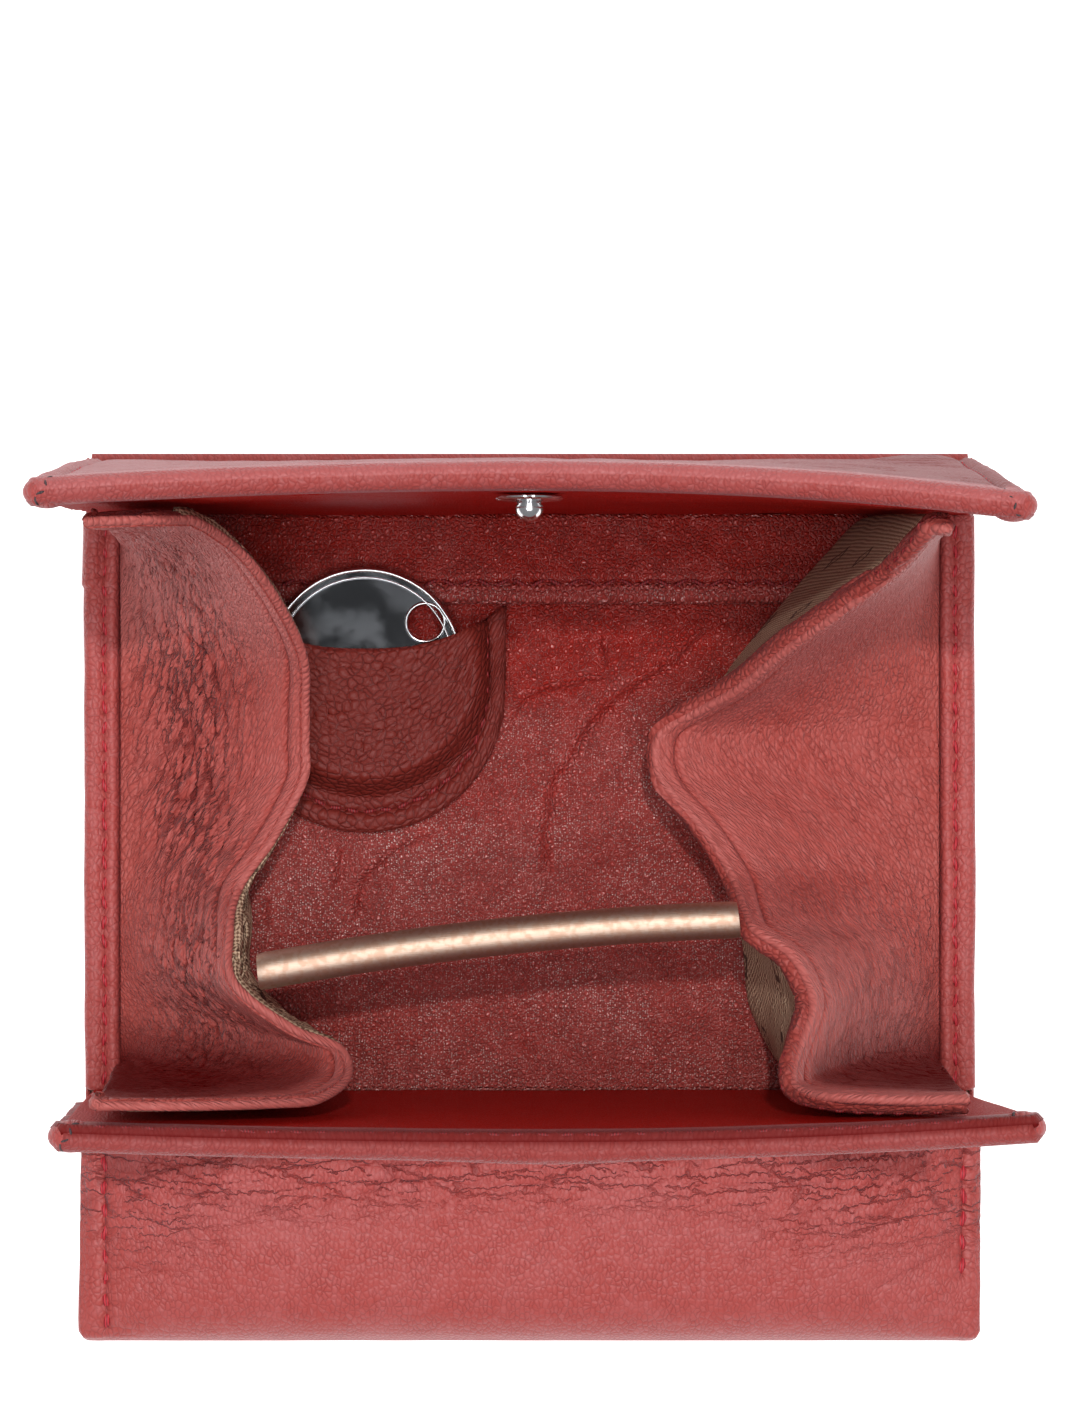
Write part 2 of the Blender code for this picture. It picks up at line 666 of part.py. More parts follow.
def cut_socket_hole(leather):
    """Hole in the outer sheet of the front wall, in which the socket sits."""
    height = FLOOR_Z + stud_meets_wall()
    inner_y = BOX_FRONT_Y - PANEL_DEPTH + PANEL_LEATHER_T + GAP

    def place(u, v, out):
        return (STUD_X + u, inner_y - out, height + v)

    hole_r = SOCKET_R + GAP
    profile = [(hole_r, 0.0), (hole_r, 2 * PANEL_LEATHER_T)]
    cutter = turned("socket_hole_cutter", profile, 32, place, LEATHER)
    cutter.hide_render = True
    cutter.display_type = "WIRE"
    cut = leather.modifiers.new("hole", "BOOLEAN")
    cut.operation = "DIFFERENCE"
    cut.object = cutter


def stud_meets_wall():
    """Height on the front wall that the stud meets when flap and wall are closed."""
    stud_arm = STUD_HEIGHT - FLAP_HINGE_HEIGHT
    along_y = BOX_DEPTH - stud_arm
    rise = FLAP_HINGE_HEIGHT - STUD_LENGTH / 2 - WALL_HINGE_HEIGHT
    along = along_y * sin(WALL_CLOSED_ANGLE) + rise * cos(WALL_CLOSED_ANGLE)
    return WALL_HINGE_HEIGHT + along


def make_snap():
    stud_z = FLOOR_Z + STUD_HEIGHT
    socket_z = FLOOR_Z + stud_meets_wall()
    socket_y = BOX_FRONT_Y - PANEL_DEPTH - SOCKET_PROUD + SOCKET_T

    def stud_place(u, v, out):
        return (STUD_X + u, BOX_BACK_Y - GAP - out, stud_z + v)

    def plate_place(u, v, out):
        return (STUD_X + u, BOX_BACK_Y + FLAP_LINING_T + GAP + out, stud_z + v)

    def socket_place(u, v, out):
        return (STUD_X + u, socket_y - out, socket_z + v)

    tip = STUD_LENGTH - GAP
    ball = []
    for degrees in (0, 25, 50, 75):
        angle = radians(degrees)
        ball.append((STUD_BALL_R * cos(angle), tip - STUD_BALL_R + STUD_BALL_R * sin(angle)))
    profile = [
        (STUD_BASE_R - SNAP_EDGE_R, 0.0),
        (STUD_BASE_R, SNAP_EDGE_R),
        (STUD_BASE_R - SNAP_EDGE_R, STUD_BASE_T),
        (STUD_POST_R, STUD_BASE_T + SNAP_EDGE_R),
    ]
    turned("snap_stud", profile + ball, 20, stud_place, CHROME, pivot=flap_pivot())

    plate = [(BACK_PLATE_R, 0.0), (BACK_PLATE_R, BACK_PLATE_T)]
    turned("stud_back_plate", plate, 20, plate_place, CHROME, pivot=flap_pivot())

    groove_low = SOCKET_T / 2 - SPRING_WIRE_R - GAP / 2
    groove_high = SOCKET_T / 2 + SPRING_WIRE_R + GAP / 2
    ring = [
        (SOCKET_HOLE_R, 0.0),
        (SOCKET_R - SNAP_EDGE_R, 0.0),
        (SOCKET_R, SNAP_EDGE_R),
        (SOCKET_R - SNAP_EDGE_R, SOCKET_T - 2 * SNAP_EDGE_R),
        (SOCKET_R * 0.72, SOCKET_T),
        (SOCKET_HOLE_R + SNAP_EDGE_R, SOCKET_T),
        (SOCKET_HOLE_R, SOCKET_T - SNAP_EDGE_R),
        (SOCKET_HOLE_R, groove_high),
        (SOCKET_HOLE_R + SPRING_GROOVE_DEPTH, groove_high),
        (SOCKET_HOLE_R + SPRING_GROOVE_DEPTH, groove_low),
        (SOCKET_HOLE_R, groove_low),
    ]
    turned("snap_socket", ring, 24, socket_place, CHROME, closed=True, pivot=wall_pivot())

    wire = []
    for step in range(6):
        angle = 2 * pi * step / 6
        wire.append((SPRING_RING_R + SPRING_WIRE_R * cos(angle), SOCKET_T / 2 + SPRING_WIRE_R * sin(angle)))
    turned("socket_spring", wire, 20, socket_place, CHROME, closed=True, pivot=wall_pivot())


def pocket_surface(across, y):
    """Height of the token pocket's middle surface above the floor."""
    far = hypot(across, y - TOKEN_Y)
    lift = STRIP_T + TOKEN_T + 2 * GAP
    start = TOKEN_R + POCKET_EASE
    return GAP + POCKET_T / 2 + lift * (1 - smooth_step(start, start + POCKET_EDGE_WIDTH, far))


def make_token_pocket():
    grid = []
    rows = spread(0, 1, 13)
    for along in rows:
        row = []
        for share in spread(-1, 1, 17):
            across = share * POCKET_HALF_WIDTH
            arc = sqrt(max(1 - share ** 2, 0))
            bottom = TOKEN_Y - POCKET_BOTTOM_BELOW_TOKEN + POCKET_HALF_WIDTH * (1 - arc)
            top = TOKEN_Y + POCKET_MOUTH_ABOVE_TOKEN + POCKET_MOUTH_RISE * abs(share) ** 2.5
            y = bottom + (top - bottom) * along
            row.append(Vector((TOKEN_X + across, y, FLOOR_Z + pocket_surface(across, y))))
        grid.append(row)
    sheet("token_pocket", grid, POCKET_T, POCKET_LEATHER)


def make_token():
    bottom = FLOOR_Z + STRIP_T + 2 * GAP

    def place(u, v, height):
        return (TOKEN_X + u, TOKEN_Y + v, bottom + height)

    inner = TOKEN_R - TOKEN_RIM_WIDTH
    profile = [
        (inner, TOKEN_RIM_STEP),
        (inner, 0.0),
        (TOKEN_R - SNAP_EDGE_R, 0.0),
        (TOKEN_R, SNAP_EDGE_R),
        (TOKEN_R, TOKEN_T - SNAP_EDGE_R),
        (TOKEN_R - SNAP_EDGE_R, TOKEN_T),
        (inner, TOKEN_T),
        (inner, TOKEN_T - TOKEN_RIM_STEP),
    ]
    centre = Vector((TOKEN_X, TOKEN_Y, bottom))
    token = turned("trolley_token", profile, 48, place, CHROME, pivot=centre)

    def hole_place(u, v, height):
        x = TOKEN_X + TOKEN_HOLE_OFFSET * cos(TOKEN_HOLE_ANGLE) + u
        y = TOKEN_Y + TOKEN_HOLE_OFFSET * sin(TOKEN_HOLE_ANGLE) + v
        return (x, y, bottom + height)

    cylinder = [(TOKEN_HOLE_R, -TOKEN_T), (TOKEN_HOLE_R, 2 * TOKEN_T)]
    cutter = turned("token_hole_cutter", cylinder, 24, hole_place, CHROME)
    cutter.hide_render = True
    cutter.display_type = "WIRE"
    cut = token.modifiers.new("hole", "BOOLEAN")
    cut.operation = "DIFFERENCE"
    cut.object = cutter


def make_rod():
    """Open tube that spreads the gussets, bowed a little towards the flap."""
    height = FLOOR_Z + FLAP_LIP_HEIGHT * ROD_HEIGHT_SHARE
    ends = []
    for across, depth in ROD_END_SHARES:
        x = BODY_CENTRE_X + GUSSET_EDGE_HALF * across
        ends.append(Vector((x, BOX_BACK_Y - BOX_DEPTH * depth, height)))
    left, right = ends
    along = (right - left).normalized()
    side = Vector((0, 0, 1)).cross(along)
    up = Vector((0, 0, 1))
    segments = 16
    centres = []
    for share in spread(0, 1, 11):
        bow = ROD_BOW * (1 - (2 * share - 1) ** 2)
        centres.append(left.lerp(right, share) + side * bow)
    points = []
    rings = []
    for radius, order in ((ROD_R, centres), (ROD_R - ROD_WALL, list(reversed(centres)))):
        for centre in order:
            ring = []
            for step in range(segments):
                angle = 2 * pi * step / segments
                ring.append(len(points))
                points.append(centre + (side * cos(angle) + up * sin(angle)) * radius)
            rings.append(ring)
    faces = []
    for lower, upper in zip(rings, rings[1:] + rings[:1]):
        for step in range(segments):
            following = (step + 1) % segments
            faces.append([lower[step], lower[following], upper[following], upper[step]])
    object_from_faces("spreader_rod", points, faces, COPPER, (left + right) / 2)


def keep_between_walls(point, clearance):
    """Hold a gusset point clear of the upright flap and front wall."""
    height = point.z - FLOOR_Z
    flap_share = (point.x - FLAP_CENTRE_X) / (FLAP_WIDTH / 2)
    wall_share = (point.x - BODY_CENTRE_X) / (WALL_WIDTH / 2)
    back = BOX_BACK_Y - flap_bow(flap_share, height) - clearance
    front = BOX_FRONT_Y + wall_bow(wall_share, height) + clearance
    return Vector((point.x, min(max(point.y, front), back), point.z))


def strip_lift(y):
    """How far the floor strip lifts the lining's foot at this distance from the flap."""
    strip_front = BOX_BACK_Y - GAP - STRIP_DEPTH
    return (STRIP_T + GAP) * smooth_step(strip_front - LIFT_RAMP, strip_front - GAP, y)


def clear_of_sheet(points, surface, clearance):
    """Push points away from a surface, to the side its normals face."""
    moved = []
    for point in points:
        near, normal, _, distance = surface.find_nearest(point)
        beside = (point - near).dot(normal)
        if distance < clearance or beside < -WRONG_SIDE_SHARE * distance:
            point = near + normal * clearance
        moved.append(point)
    return moved


def surface_facing(grid, direction):
    """Search tree of a grid of points, with normals on the side of a direction."""
    rows = len(grid)
    columns = len(grid[0])
    points = [point for row in grid for point in row]
    faces = []
    for row in range(rows - 1):
        for column in range(columns - 1):
            first = row * columns + column
            faces.append((first, first + 1, first + columns + 1))
            faces.append((first, first + columns + 1, first + columns))
    middle = grid[rows // 2]
    across = grid[rows // 2 + 1][columns // 2] - middle[columns // 2]
    up = middle[columns // 2 + 1] - middle[columns // 2]
    if up.cross(across).dot(direction) < 0:
        faces = [tuple(reversed(face)) for face in faces]
    return BVHTree.FromPolygons(points, faces)


def gusset_rows(shares, side):
    """Base point, free edge point and lining foot for each place along a gusset."""
    rows = []
    for reach, depth, lift, base_depth, foot_reach, foot_depth in smooth_rows(shares, 34):
        edge_x = BODY_CENTRE_X + side * GUSSET_EDGE_HALF * (1 - reach)
        edge = Vector((edge_x, BOX_BACK_Y - BOX_DEPTH * depth, FLOOR_Z + FLAP_LIP_HEIGHT * lift))
        base_z = FLOOR_Z + GAP + GUSSET_LEATHER_T / 2
        base_x = BODY_CENTRE_X + side * GUSSET_BASE_X
        base = Vector((base_x, BOX_BACK_Y - BOX_DEPTH * base_depth, base_z))
        foot_x = BODY_CENTRE_X + side * GUSSET_EDGE_HALF * (1 - foot_reach)
        foot_y = BOX_BACK_Y - BOX_DEPTH * foot_depth
        foot = Vector((foot_x, foot_y, FLOOR_Z + LINING_FOOT_HEIGHT + strip_lift(foot_y)))
        rows.append((base, edge, foot))
    return rows


def gusset_column(base, edge, reach, clearance):
    """Points from the side seam up towards the free edge, with the leather's sag."""
    column = []
    for share in spread(0, reach, GUSSET_ROWS):
        point = base.lerp(edge, share)
        point.z = base.z + (edge.z - base.z) * share ** GUSSET_SAG_POWER_SHARE
        column.append(keep_between_walls(point, clearance))
    return column


def make_gusset(side, side_name, shares):
    """Leather sheet from the side seam up to the free edge, and the loose lining inside it."""
    apart = (GUSSET_LEATHER_T + GUSSET_LINING_T) / 2 + GAP + SPACING_SPARE
    lining_clear = GAP + GUSSET_LINING_T / 2
    leather_clear = lining_clear + apart
    inside = Vector((-side, 0, -1))
    rows = gusset_rows(shares, side)
    leather = [gusset_column(base, edge, 1.0, leather_clear) for base, edge, _ in rows]
    under = [gusset_column(base, edge, LINING_TOP_SHARE, leather_clear) for base, edge, _ in rows]
    normals = grid_normals(under)
    middle = normals[len(normals) // 2][GUSSET_ROWS // 2]
    facing = apart if middle.dot(inside) > 0 else -apart
    surface = surface_facing(leather, inside)
    lining = []
    for column, column_normals, (_, _, foot) in zip(under, normals, rows):
        column = [point + normal * facing for point, normal in zip(column, column_normals)]
        fall = foot - column[0]
        for index, share in enumerate(spread(0, 1, GUSSET_ROWS)):
            column[index] = column[index] + fall * (1 - share) ** LINING_FALL_POWER_SHARE
        column = clear_of_sheet(column, surface, apart)
        lining.append([keep_between_walls(point, lining_clear) for point in column])
    sheet(f"gusset_{side_name}_leather", leather, GUSSET_LEATHER_T, LEATHER_LIGHT)
    sheet(f"gusset_{side_name}_lining", lining, GUSSET_LINING_T, FABRIC)


def make_wallet():
    remove_everything()
    make_rear_section()
    make_outer_leather()
    make_front_panel_lining()
    make_bindings()
    make_interior_strip()
    make_spine()
    make_front_hinge_lining()
    make_flap()
    make_front_wall()
    make_snap()
    make_token_pocket()
    make_token()
    make_rod()
    make_gusset(-1, "left", LEFT_EDGE_SHARES)
    make_gusset(1, "right", RIGHT_EDGE_SHARES)


make_wallet()
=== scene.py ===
"""Looks of a compact red leather wallet with its coin box open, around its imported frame."""

from math import cos, pi, radians, sin
from types import SimpleNamespace

import bmesh
import bpy
import numpy as np
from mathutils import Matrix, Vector


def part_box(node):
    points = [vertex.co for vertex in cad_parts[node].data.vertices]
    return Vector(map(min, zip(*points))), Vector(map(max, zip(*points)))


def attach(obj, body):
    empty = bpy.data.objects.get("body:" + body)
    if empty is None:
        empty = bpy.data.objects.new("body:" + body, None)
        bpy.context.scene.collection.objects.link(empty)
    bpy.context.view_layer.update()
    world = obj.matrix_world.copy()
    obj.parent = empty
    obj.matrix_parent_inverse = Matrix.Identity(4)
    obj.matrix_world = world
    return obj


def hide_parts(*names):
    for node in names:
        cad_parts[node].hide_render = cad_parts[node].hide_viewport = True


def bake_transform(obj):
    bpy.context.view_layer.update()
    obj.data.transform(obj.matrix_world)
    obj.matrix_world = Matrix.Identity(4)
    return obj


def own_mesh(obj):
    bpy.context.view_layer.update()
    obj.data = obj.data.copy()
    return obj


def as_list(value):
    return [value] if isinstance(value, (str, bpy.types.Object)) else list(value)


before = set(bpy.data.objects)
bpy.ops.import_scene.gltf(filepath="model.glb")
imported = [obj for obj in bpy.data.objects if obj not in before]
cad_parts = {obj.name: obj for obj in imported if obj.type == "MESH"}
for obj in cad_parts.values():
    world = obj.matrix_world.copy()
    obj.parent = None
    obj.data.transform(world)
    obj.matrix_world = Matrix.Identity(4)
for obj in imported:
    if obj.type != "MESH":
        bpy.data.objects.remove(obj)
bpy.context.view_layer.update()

# Lengths here are in millimetres, and a mesh is scaled once when it is made.
MM = 0.001

# Photograph's width and the camera's focal length in pixels, its sensor in millimetres, its height in metres
PHOTO_WIDTH = 1068
FOCAL = 3811.5
SENSOR = 36.0
CAMERA_HEIGHT = 0.459

# Coin box, the back and bottom edges of the wallet, and half widths of the floor lining and its strip
FLOOR_Z = 9.0
BODY_X = -0.5
BODY_HALF = 52.3
BACK_Y = 23.2
DEPTH = 67.7
FRONT_Y = BACK_Y - DEPTH
TOP_EDGE_Y = 30.5
FLOOR_HALF = 47.6
STRIP_HALF = 44.2
BOTTOM_Y = -74.5
GAP = 0.3
SIDES = (("left", -1), ("right", 1))

# Flap and front wall. lip and hinge are heights over the floor of the box, away is the outward direction
# along Y, bows say how far the left and right ends bend inwards at the lip, and lean is the lip's shift in X.
# HEM_TURN is the angle round a lip, from its outer side, at which its hem is sewn.
FLAP = SimpleNamespace(body="flap", x=-0.4, y=BACK_Y, away=1, lip=54.0, hinge=11.5, bows=(1.8, 3.3), lean=0.0)
WALL = SimpleNamespace(
    body="front_wall", x=BODY_X, y=FRONT_Y, away=-1, lip=47.5, hinge=7.0, bows=(1.0, 2.0), lean=2.0
)
PANEL_DEPTH = 3.0
SKIN_T = 1.2
FRONT_SKIN_T = 1.3
HEM_DEPTH = 4.1
LIP_CORNER = 3.0
HEM_TURN = 2.55
FLAP_ROOT_EXTRA = 2.8

# Rounded ends of the lips: their half sizes along X, Y and Z, how far their middles lie below the lip
# and inwards from the ends, and the pitch of the dark thread over them
EAR_SIZE = (2.5, 1.75, 2.3)
EAR_DOWN = 2.4
EAR_IN = 1.7
KNOT_PITCH = 1.15

# Seams: distance from the sheet's edge and pitch of the stitches
FLAP_SEAM = 2.9
FLAP_PITCH = 2.4
PANEL_PITCH = 2.9
WALL_HEM_PITCH = 2.6
GUSSET_HEM_PITCH = 2.2
BINDING_SEAM = 1.9
BINDING_PITCH = 2.3
STRIP_SEAM_Y = 15.2
STRIP_PITCH = 2.1
POCKET_SEAM = 2.1
POCKET_PITCH = 2.0

# Front panel: half its width, the height of its side seams, how flat it is pinched there,
# and for each seam its side, its distance from the edge and where it starts and ends in Y
PANEL_HALF = 52.6
PANEL_SEAM_Z = FLOOR_Z - 0.1
PINCH = 0.16
PANEL_SEAMS = ((-1, 2.9, (-50.5, -72.5)), (1, 1.9, (-50.5, -66.4)))

# Creases seen in the photograph, as lines of X and Y: on the front panel and on the floor
FAN_LINES = (
    ((-50, -50), (-40, -47.8), (-28, -48.6), (-14, -47.6), (4, -48.3)),
    ((-50, -51.5), (-38, -50.4), (-27, -53.2), (-15, -50.6), (0, -51.0), (16, -50.2)),
    ((-50, -53.4), (-42, -54.4), (-35, -57.0), (-28, -59.5)),
    ((-49, -65.3), (-45, -65.0), (-41, -65.8)),
    ((50, -49.5), (40, -51.5), (30, -54.0), (22, -55.2)),
    ((50, -51.0), (41, -54.6), (32, -58.0), (24, -60.5)),
    ((50, -53.5), (43, -57.0), (36, -60.5)),
    ((49, -62.1), (44.5, -65.0), (40.2, -67.2)),
)
FLOOR_CREASES = (
    ((-4.4, -3.4), (-1.5, 1.3), (3.2, 2.7), (7.9, 4.1)),
    ((7.9, 8.5), (8.6, 6.1)),
    ((-22.9, -16.2), (-23.8, -20.4)),
    ((-16.2, -16.6), (-20.1, -20.4), (-21.5, -24.3)),
    ((-31.5, -22.5), (-31.7, -24.6)),
    ((-12.6, -14.4), (-16.2, -16.6)),
)
FLOOR_FOLD = ((20.0, 9.5), (16.5, 6.0), (7.9, 0.4), (2.2, -8.1), (1.3, -15.2), (1.3, -19.0))

# Gussets: half widths at the foot and at the free edge, thicknesses, and the hem of the free edge
BASE_X = 48.0
EDGE_HALF = 49.2
GUSSET_T = 0.6
FABRIC_T = 0.35
HEM_RADIUS = 0.25
HEM_BAND = 5.5

# How far the gussets' leather, their lining and their hem stay off the upright panels
LEATHER_CLEAR = 2.15
LINING_CLEAR = 0.6
HEM_CLEAR = 0.45

# Most crumpled areas of the left gusset: centre, size and weight
LEFT_CRUMPLES = (
    ((-40.5, 6.0), (7.5, 10.0), 1.0),
    ((-37.5, -29.0), (7.5, 13.0), 1.0),
    ((-40.0, -11.0), (5.5, 9.0), 0.8),
    ((-42.0, 17.0), (7.0, 5.0), 0.5),
)

# Plane in which each half of a gusset lies when its fold is closed, the share of its height that stays,
# and for a tilted plane its slope and a point on it
GUSSET_FOLDS = {
    ("left", "back"): (13.4, 0.04),
    ("left", "front"): (9.0, 0.12),
    ("right", "back"): (9.0, 0.12),
    ("right", "front"): (13.6, 0.015, (0.04, 0.03), (24.0, -25.0)),
}

# Lines of a gusset from the flap to the front wall. The columns are the reach, depth and lift of the free
# edge, the depth of the base, and the reach and depth of the lining's foot. Reach is a share of EDGE_HALF,
# depth of DEPTH and lift of the flap's height. The back half ends at SPLIT_ROW.
SPLIT_ROW = 8
LEFT_ROWS = (
    (0.055, 0.030, 0.925, 0.040, 0.045, 0.010),
    (0.090, 0.030, 0.905, 0.045, 0.070, 0.012),
    (0.183, 0.032, 0.851, 0.060, 0.100, 0.020),
    (0.260, 0.040, 0.759, 0.085, 0.130, 0.045),
    (0.355, 0.088, 0.592, 0.130, 0.165, 0.090),
    (0.432, 0.174, 0.426, 0.190, 0.190, 0.160),
    (0.473, 0.255, 0.296, 0.265, 0.205, 0.250),
    (0.472, 0.330, 0.222, 0.340, 0.210, 0.330),
    (0.470, 0.397, 0.193, 0.400, 0.215, 0.400),
    (0.465, 0.459, 0.191, 0.460, 0.225, 0.460),
    (0.391, 0.561, 0.191, 0.555, 0.260, 0.550),
    (0.315, 0.640, 0.198, 0.630, 0.310, 0.625),
    (0.302, 0.709, 0.296, 0.690, 0.330, 0.700),
    (0.320, 0.795, 0.385, 0.755, 0.330, 0.795),
    (0.450, 0.868, 0.407, 0.812, 0.415, 0.868),
    (0.569, 0.901, 0.444, 0.850, 0.465, 0.900),
    (0.585, 0.940, 0.519, 0.890, 0.470, 0.930),
    (0.535, 0.962, 0.630, 0.910, 0.430, 0.945),
    (0.473, 0.966, 0.685, 0.930, 0.360, 0.950),
    (0.283, 0.968, 0.778, 0.945, 0.220, 0.956),
    (0.086, 0.968, 0.833, 0.950, 0.075, 0.960),
    (0.065, 0.968, 0.842, 0.953, 0.045, 0.962),
)
RIGHT_ROWS = (
    (0.100, 0.050, 0.900, 0.040, 0.120, 0.010),
    (0.130, 0.060, 0.889, 0.050, 0.205, 0.010),
    (0.190, 0.117, 0.741, 0.085, 0.290, 0.070),
    (0.287, 0.175, 0.611, 0.130, 0.370, 0.135),
    (0.410, 0.241, 0.463, 0.185, 0.450, 0.205),
    (0.515, 0.306, 0.333, 0.260, 0.520, 0.270),
    (0.603, 0.343, 0.250, 0.320, 0.555, 0.320),
    (0.672, 0.370, 0.207, 0.360, 0.575, 0.360),
    (0.700, 0.402, 0.193, 0.400, 0.580, 0.400),
    (0.685, 0.459, 0.191, 0.460, 0.570, 0.460),
    (0.596, 0.535, 0.191, 0.530, 0.530, 0.530),
    (0.524, 0.617, 0.200, 0.600, 0.500, 0.600),
    (0.500, 0.671, 0.296, 0.650, 0.500, 0.660),
    (0.480, 0.703, 0.370, 0.690, 0.495, 0.710),
    (0.401, 0.741, 0.407, 0.740, 0.485, 0.760),
    (0.358, 0.797, 0.444, 0.790, 0.480, 0.810),
    (0.357, 0.839, 0.481, 0.830, 0.470, 0.855),
    (0.388, 0.890, 0.537, 0.865, 0.440, 0.905),
    (0.408, 0.925, 0.593, 0.890, 0.410, 0.940),
    (0.400, 0.948, 0.648, 0.910, 0.360, 0.965),
    (0.321, 0.952, 0.741, 0.930, 0.280, 0.980),
    (0.152, 0.952, 0.796, 0.945, 0.145, 0.988),
    (0.055, 0.950, 0.842, 0.950, 0.045, 0.990),
)

# Token, and its pocket: the middle of its round end, the height of the bulge over the token, how far its
# bottom and its opening lie from the token's middle, and how much higher the opening's corners are
TOKEN_X = -19.85
TOKEN_Y = 5.4
TOKEN_R = 11.6
TOKEN_TOP = 3.4
TOKEN_HOLE_AWAY = 8.75
POCKET_R = 16.4
POCKET_Y = 2.6
POCKET_RISE = 3.4
POCKET_DOWN = 19.2
POCKET_UP = 1.6
POCKET_CORNERS = 5.2

# Spreader rod: its height is a share of the flap's, and its ends are shares of EDGE_HALF and DEPTH.
# STUD_DOWN is how far the stud sits below the flap's lip.
ROD_LIFT = 0.389
ROD_ENDS = ((-0.620, 0.775), (0.478, 0.688))
ROD_R = 2.1
ROD_BORE = 1.65
ROD_LENGTH = 54.6
STUD_DOWN = 8.0

# Step of the texture round the edge of a sheet, the painted glints on the floor (cells per millimetre) and
# the pitch of the woven lining's dots
RIM_STEP = 0.4
GLINT_CELLS = 3.4
GLINT_COLOUR = (0.80, 0.62, 0.58)
WEAVE_PITCH = 0.95


def smooth(low, high, value):
    """Soft step from 0 at low to 1 at high."""
    share = np.clip((value - low) / (high - low), 0, 1)
    return share * share * (3 - 2 * share)


def bump_at(value, middle, width):
    """1 at the middle, falling off over the width."""
    return np.exp(-((value - middle) / width) ** 2)


def pulse(along, pitch, width):
    """1 at each multiple of the pitch: the holes between stitches."""
    near = np.abs((along / pitch + 0.5) % 1 - 0.5) * pitch
    return np.exp(-(near / width) ** 2)


def patch(x, y, centre, size):
    """1 at the centre, falling off over the size along x and y."""
    return np.exp(-(((x - centre[0]) / size[0]) ** 2) - ((y - centre[1]) / size[1]) ** 2)


def scatter(column, row, seed):
    """Random value from 0 to 1 for each cell of a lattice."""
    code = (column * 374761393 + row * 668265263 + seed * 144269504) & 0x7FFFFFFF
    code = ((code ^ (code >> 13)) * 1274126177) & 0x7FFFFFFF
    return ((code ^ (code >> 16)) & 0xFFFF) / 65535


def lattice(x, y, seed):
    """Smooth value noise from 0 to 1 on a square lattice."""
    column = np.floor(x).astype(np.int64)
    row = np.floor(y).astype(np.int64)
    u = x - column
    v = y - row
    u = u * u * (3 - 2 * u)
    v = v * v * (3 - 2 * v)
    low = scatter(column, row, seed) * (1 - u) + scatter(column + 1, row, seed) * u
    high = scatter(column, row + 1, seed) * (1 - u) + scatter(column + 1, row + 1, seed) * u
    return low * (1 - v) + high * v


def clouds(x, y, size, seed, octaves=3):
    """Layered noise from about -1 to 1, with features of the given size in millimetres."""
    total = np.zeros(np.shape(x))
    weight = 1.0
    reach = 0.0
    for octave in range(octaves):
        total = total + weight * (2 * lattice(x / size, y / size, seed + octave) - 1)
        reach += weight
        size = size / 2.1
        weight = weight / 2
    return total / reach


def cracks(x, y, cell, seed, width=0.12, warp=0.45):
    """Network of creases between uneven cells, 1 on a crease. cell is a cell's size along x and y."""
    span = max(cell)
    u = x / cell[0] + warp * clouds(x, y, span, seed + 5)
    v = y / cell[1] + warp * clouds(x, y, span, seed + 7)
    column = np.floor(u).astype(np.int64)
    row = np.floor(v).astype(np.int64)
    nearest = np.full(np.shape(u), 9.0)
    second = np.full(np.shape(u), 9.0)
    for i in (-1, 0, 1):
        for j in (-1, 0, 1):
            place_u = column + i + scatter(column + i, row + j, seed)
            place_v = row + j + scatter(column + i, row + j, seed + 1)
            far = np.hypot(u - place_u, v - place_v)
            second = np.minimum(second, np.maximum(nearest, far))
            nearest = np.minimum(nearest, far)
    broken = smooth(-0.35, 0.15, clouds(x, y, span * 0.8, seed + 9, 2))
    return np.exp(-((second - nearest) / width) ** 2) * broken


def crease(x, y, line, width):
    """1 on a drawn line, falling off with the distance."""
    best = np.full(np.shape(x), 1e9)
    for (x0, y0), (x1, y1) in zip(line, line[1:]):
        dx = x1 - x0
        dy = y1 - y0
        along = np.clip(((x - x0) * dx + (y - y0) * dy) / (dx * dx + dy * dy), 0, 1)
        best = np.minimum(best, np.hypot(x - x0 - along * dx, y - y0 - along * dy))
    return np.exp(-(best / width) ** 2)


def spline(rows, places):
    """Points on a smooth curve through rows of numbers, at places given in row numbers."""
    rows = np.array(rows, float)
    last = len(rows) - 1
    result = []
    for place in places:
        index = min(int(place), last - 1)
        t = place - index
        a = rows[max(index - 1, 0)]
        b = rows[index]
        c = rows[index + 1]
        d = rows[min(index + 2, last)]
        value = 2 * b + (c - a) * t + (2 * a - 5 * b + 4 * c - d) * t ** 2
        result.append((value + (3 * b - a - 3 * c + d) * t ** 3) / 2)
    return np.array(result)


def unit(vectors):
    return vectors / np.maximum(np.linalg.norm(vectors, axis=-1, keepdims=True), 1e-9)


def grid_normals(grid):
    return unit(np.cross(np.gradient(grid, axis=1), np.gradient(grid, axis=0)))


def evened(values, axis, reach=20):
    """Running mean along an axis."""
    values = np.moveaxis(values, axis, 0)
    before, after = (np.repeat(end, reach, axis=0) for end in (values[:1], values[-1:]))
    padded = np.concatenate([before, values, after])
    total = np.concatenate([np.zeros((1,) + values.shape[1:]), np.cumsum(padded, axis=0)])
    mean = (total[2 * reach + 1:] - total[:-2 * reach - 1]) / (2 * reach + 1)
    return np.moveaxis(mean, 0, axis)


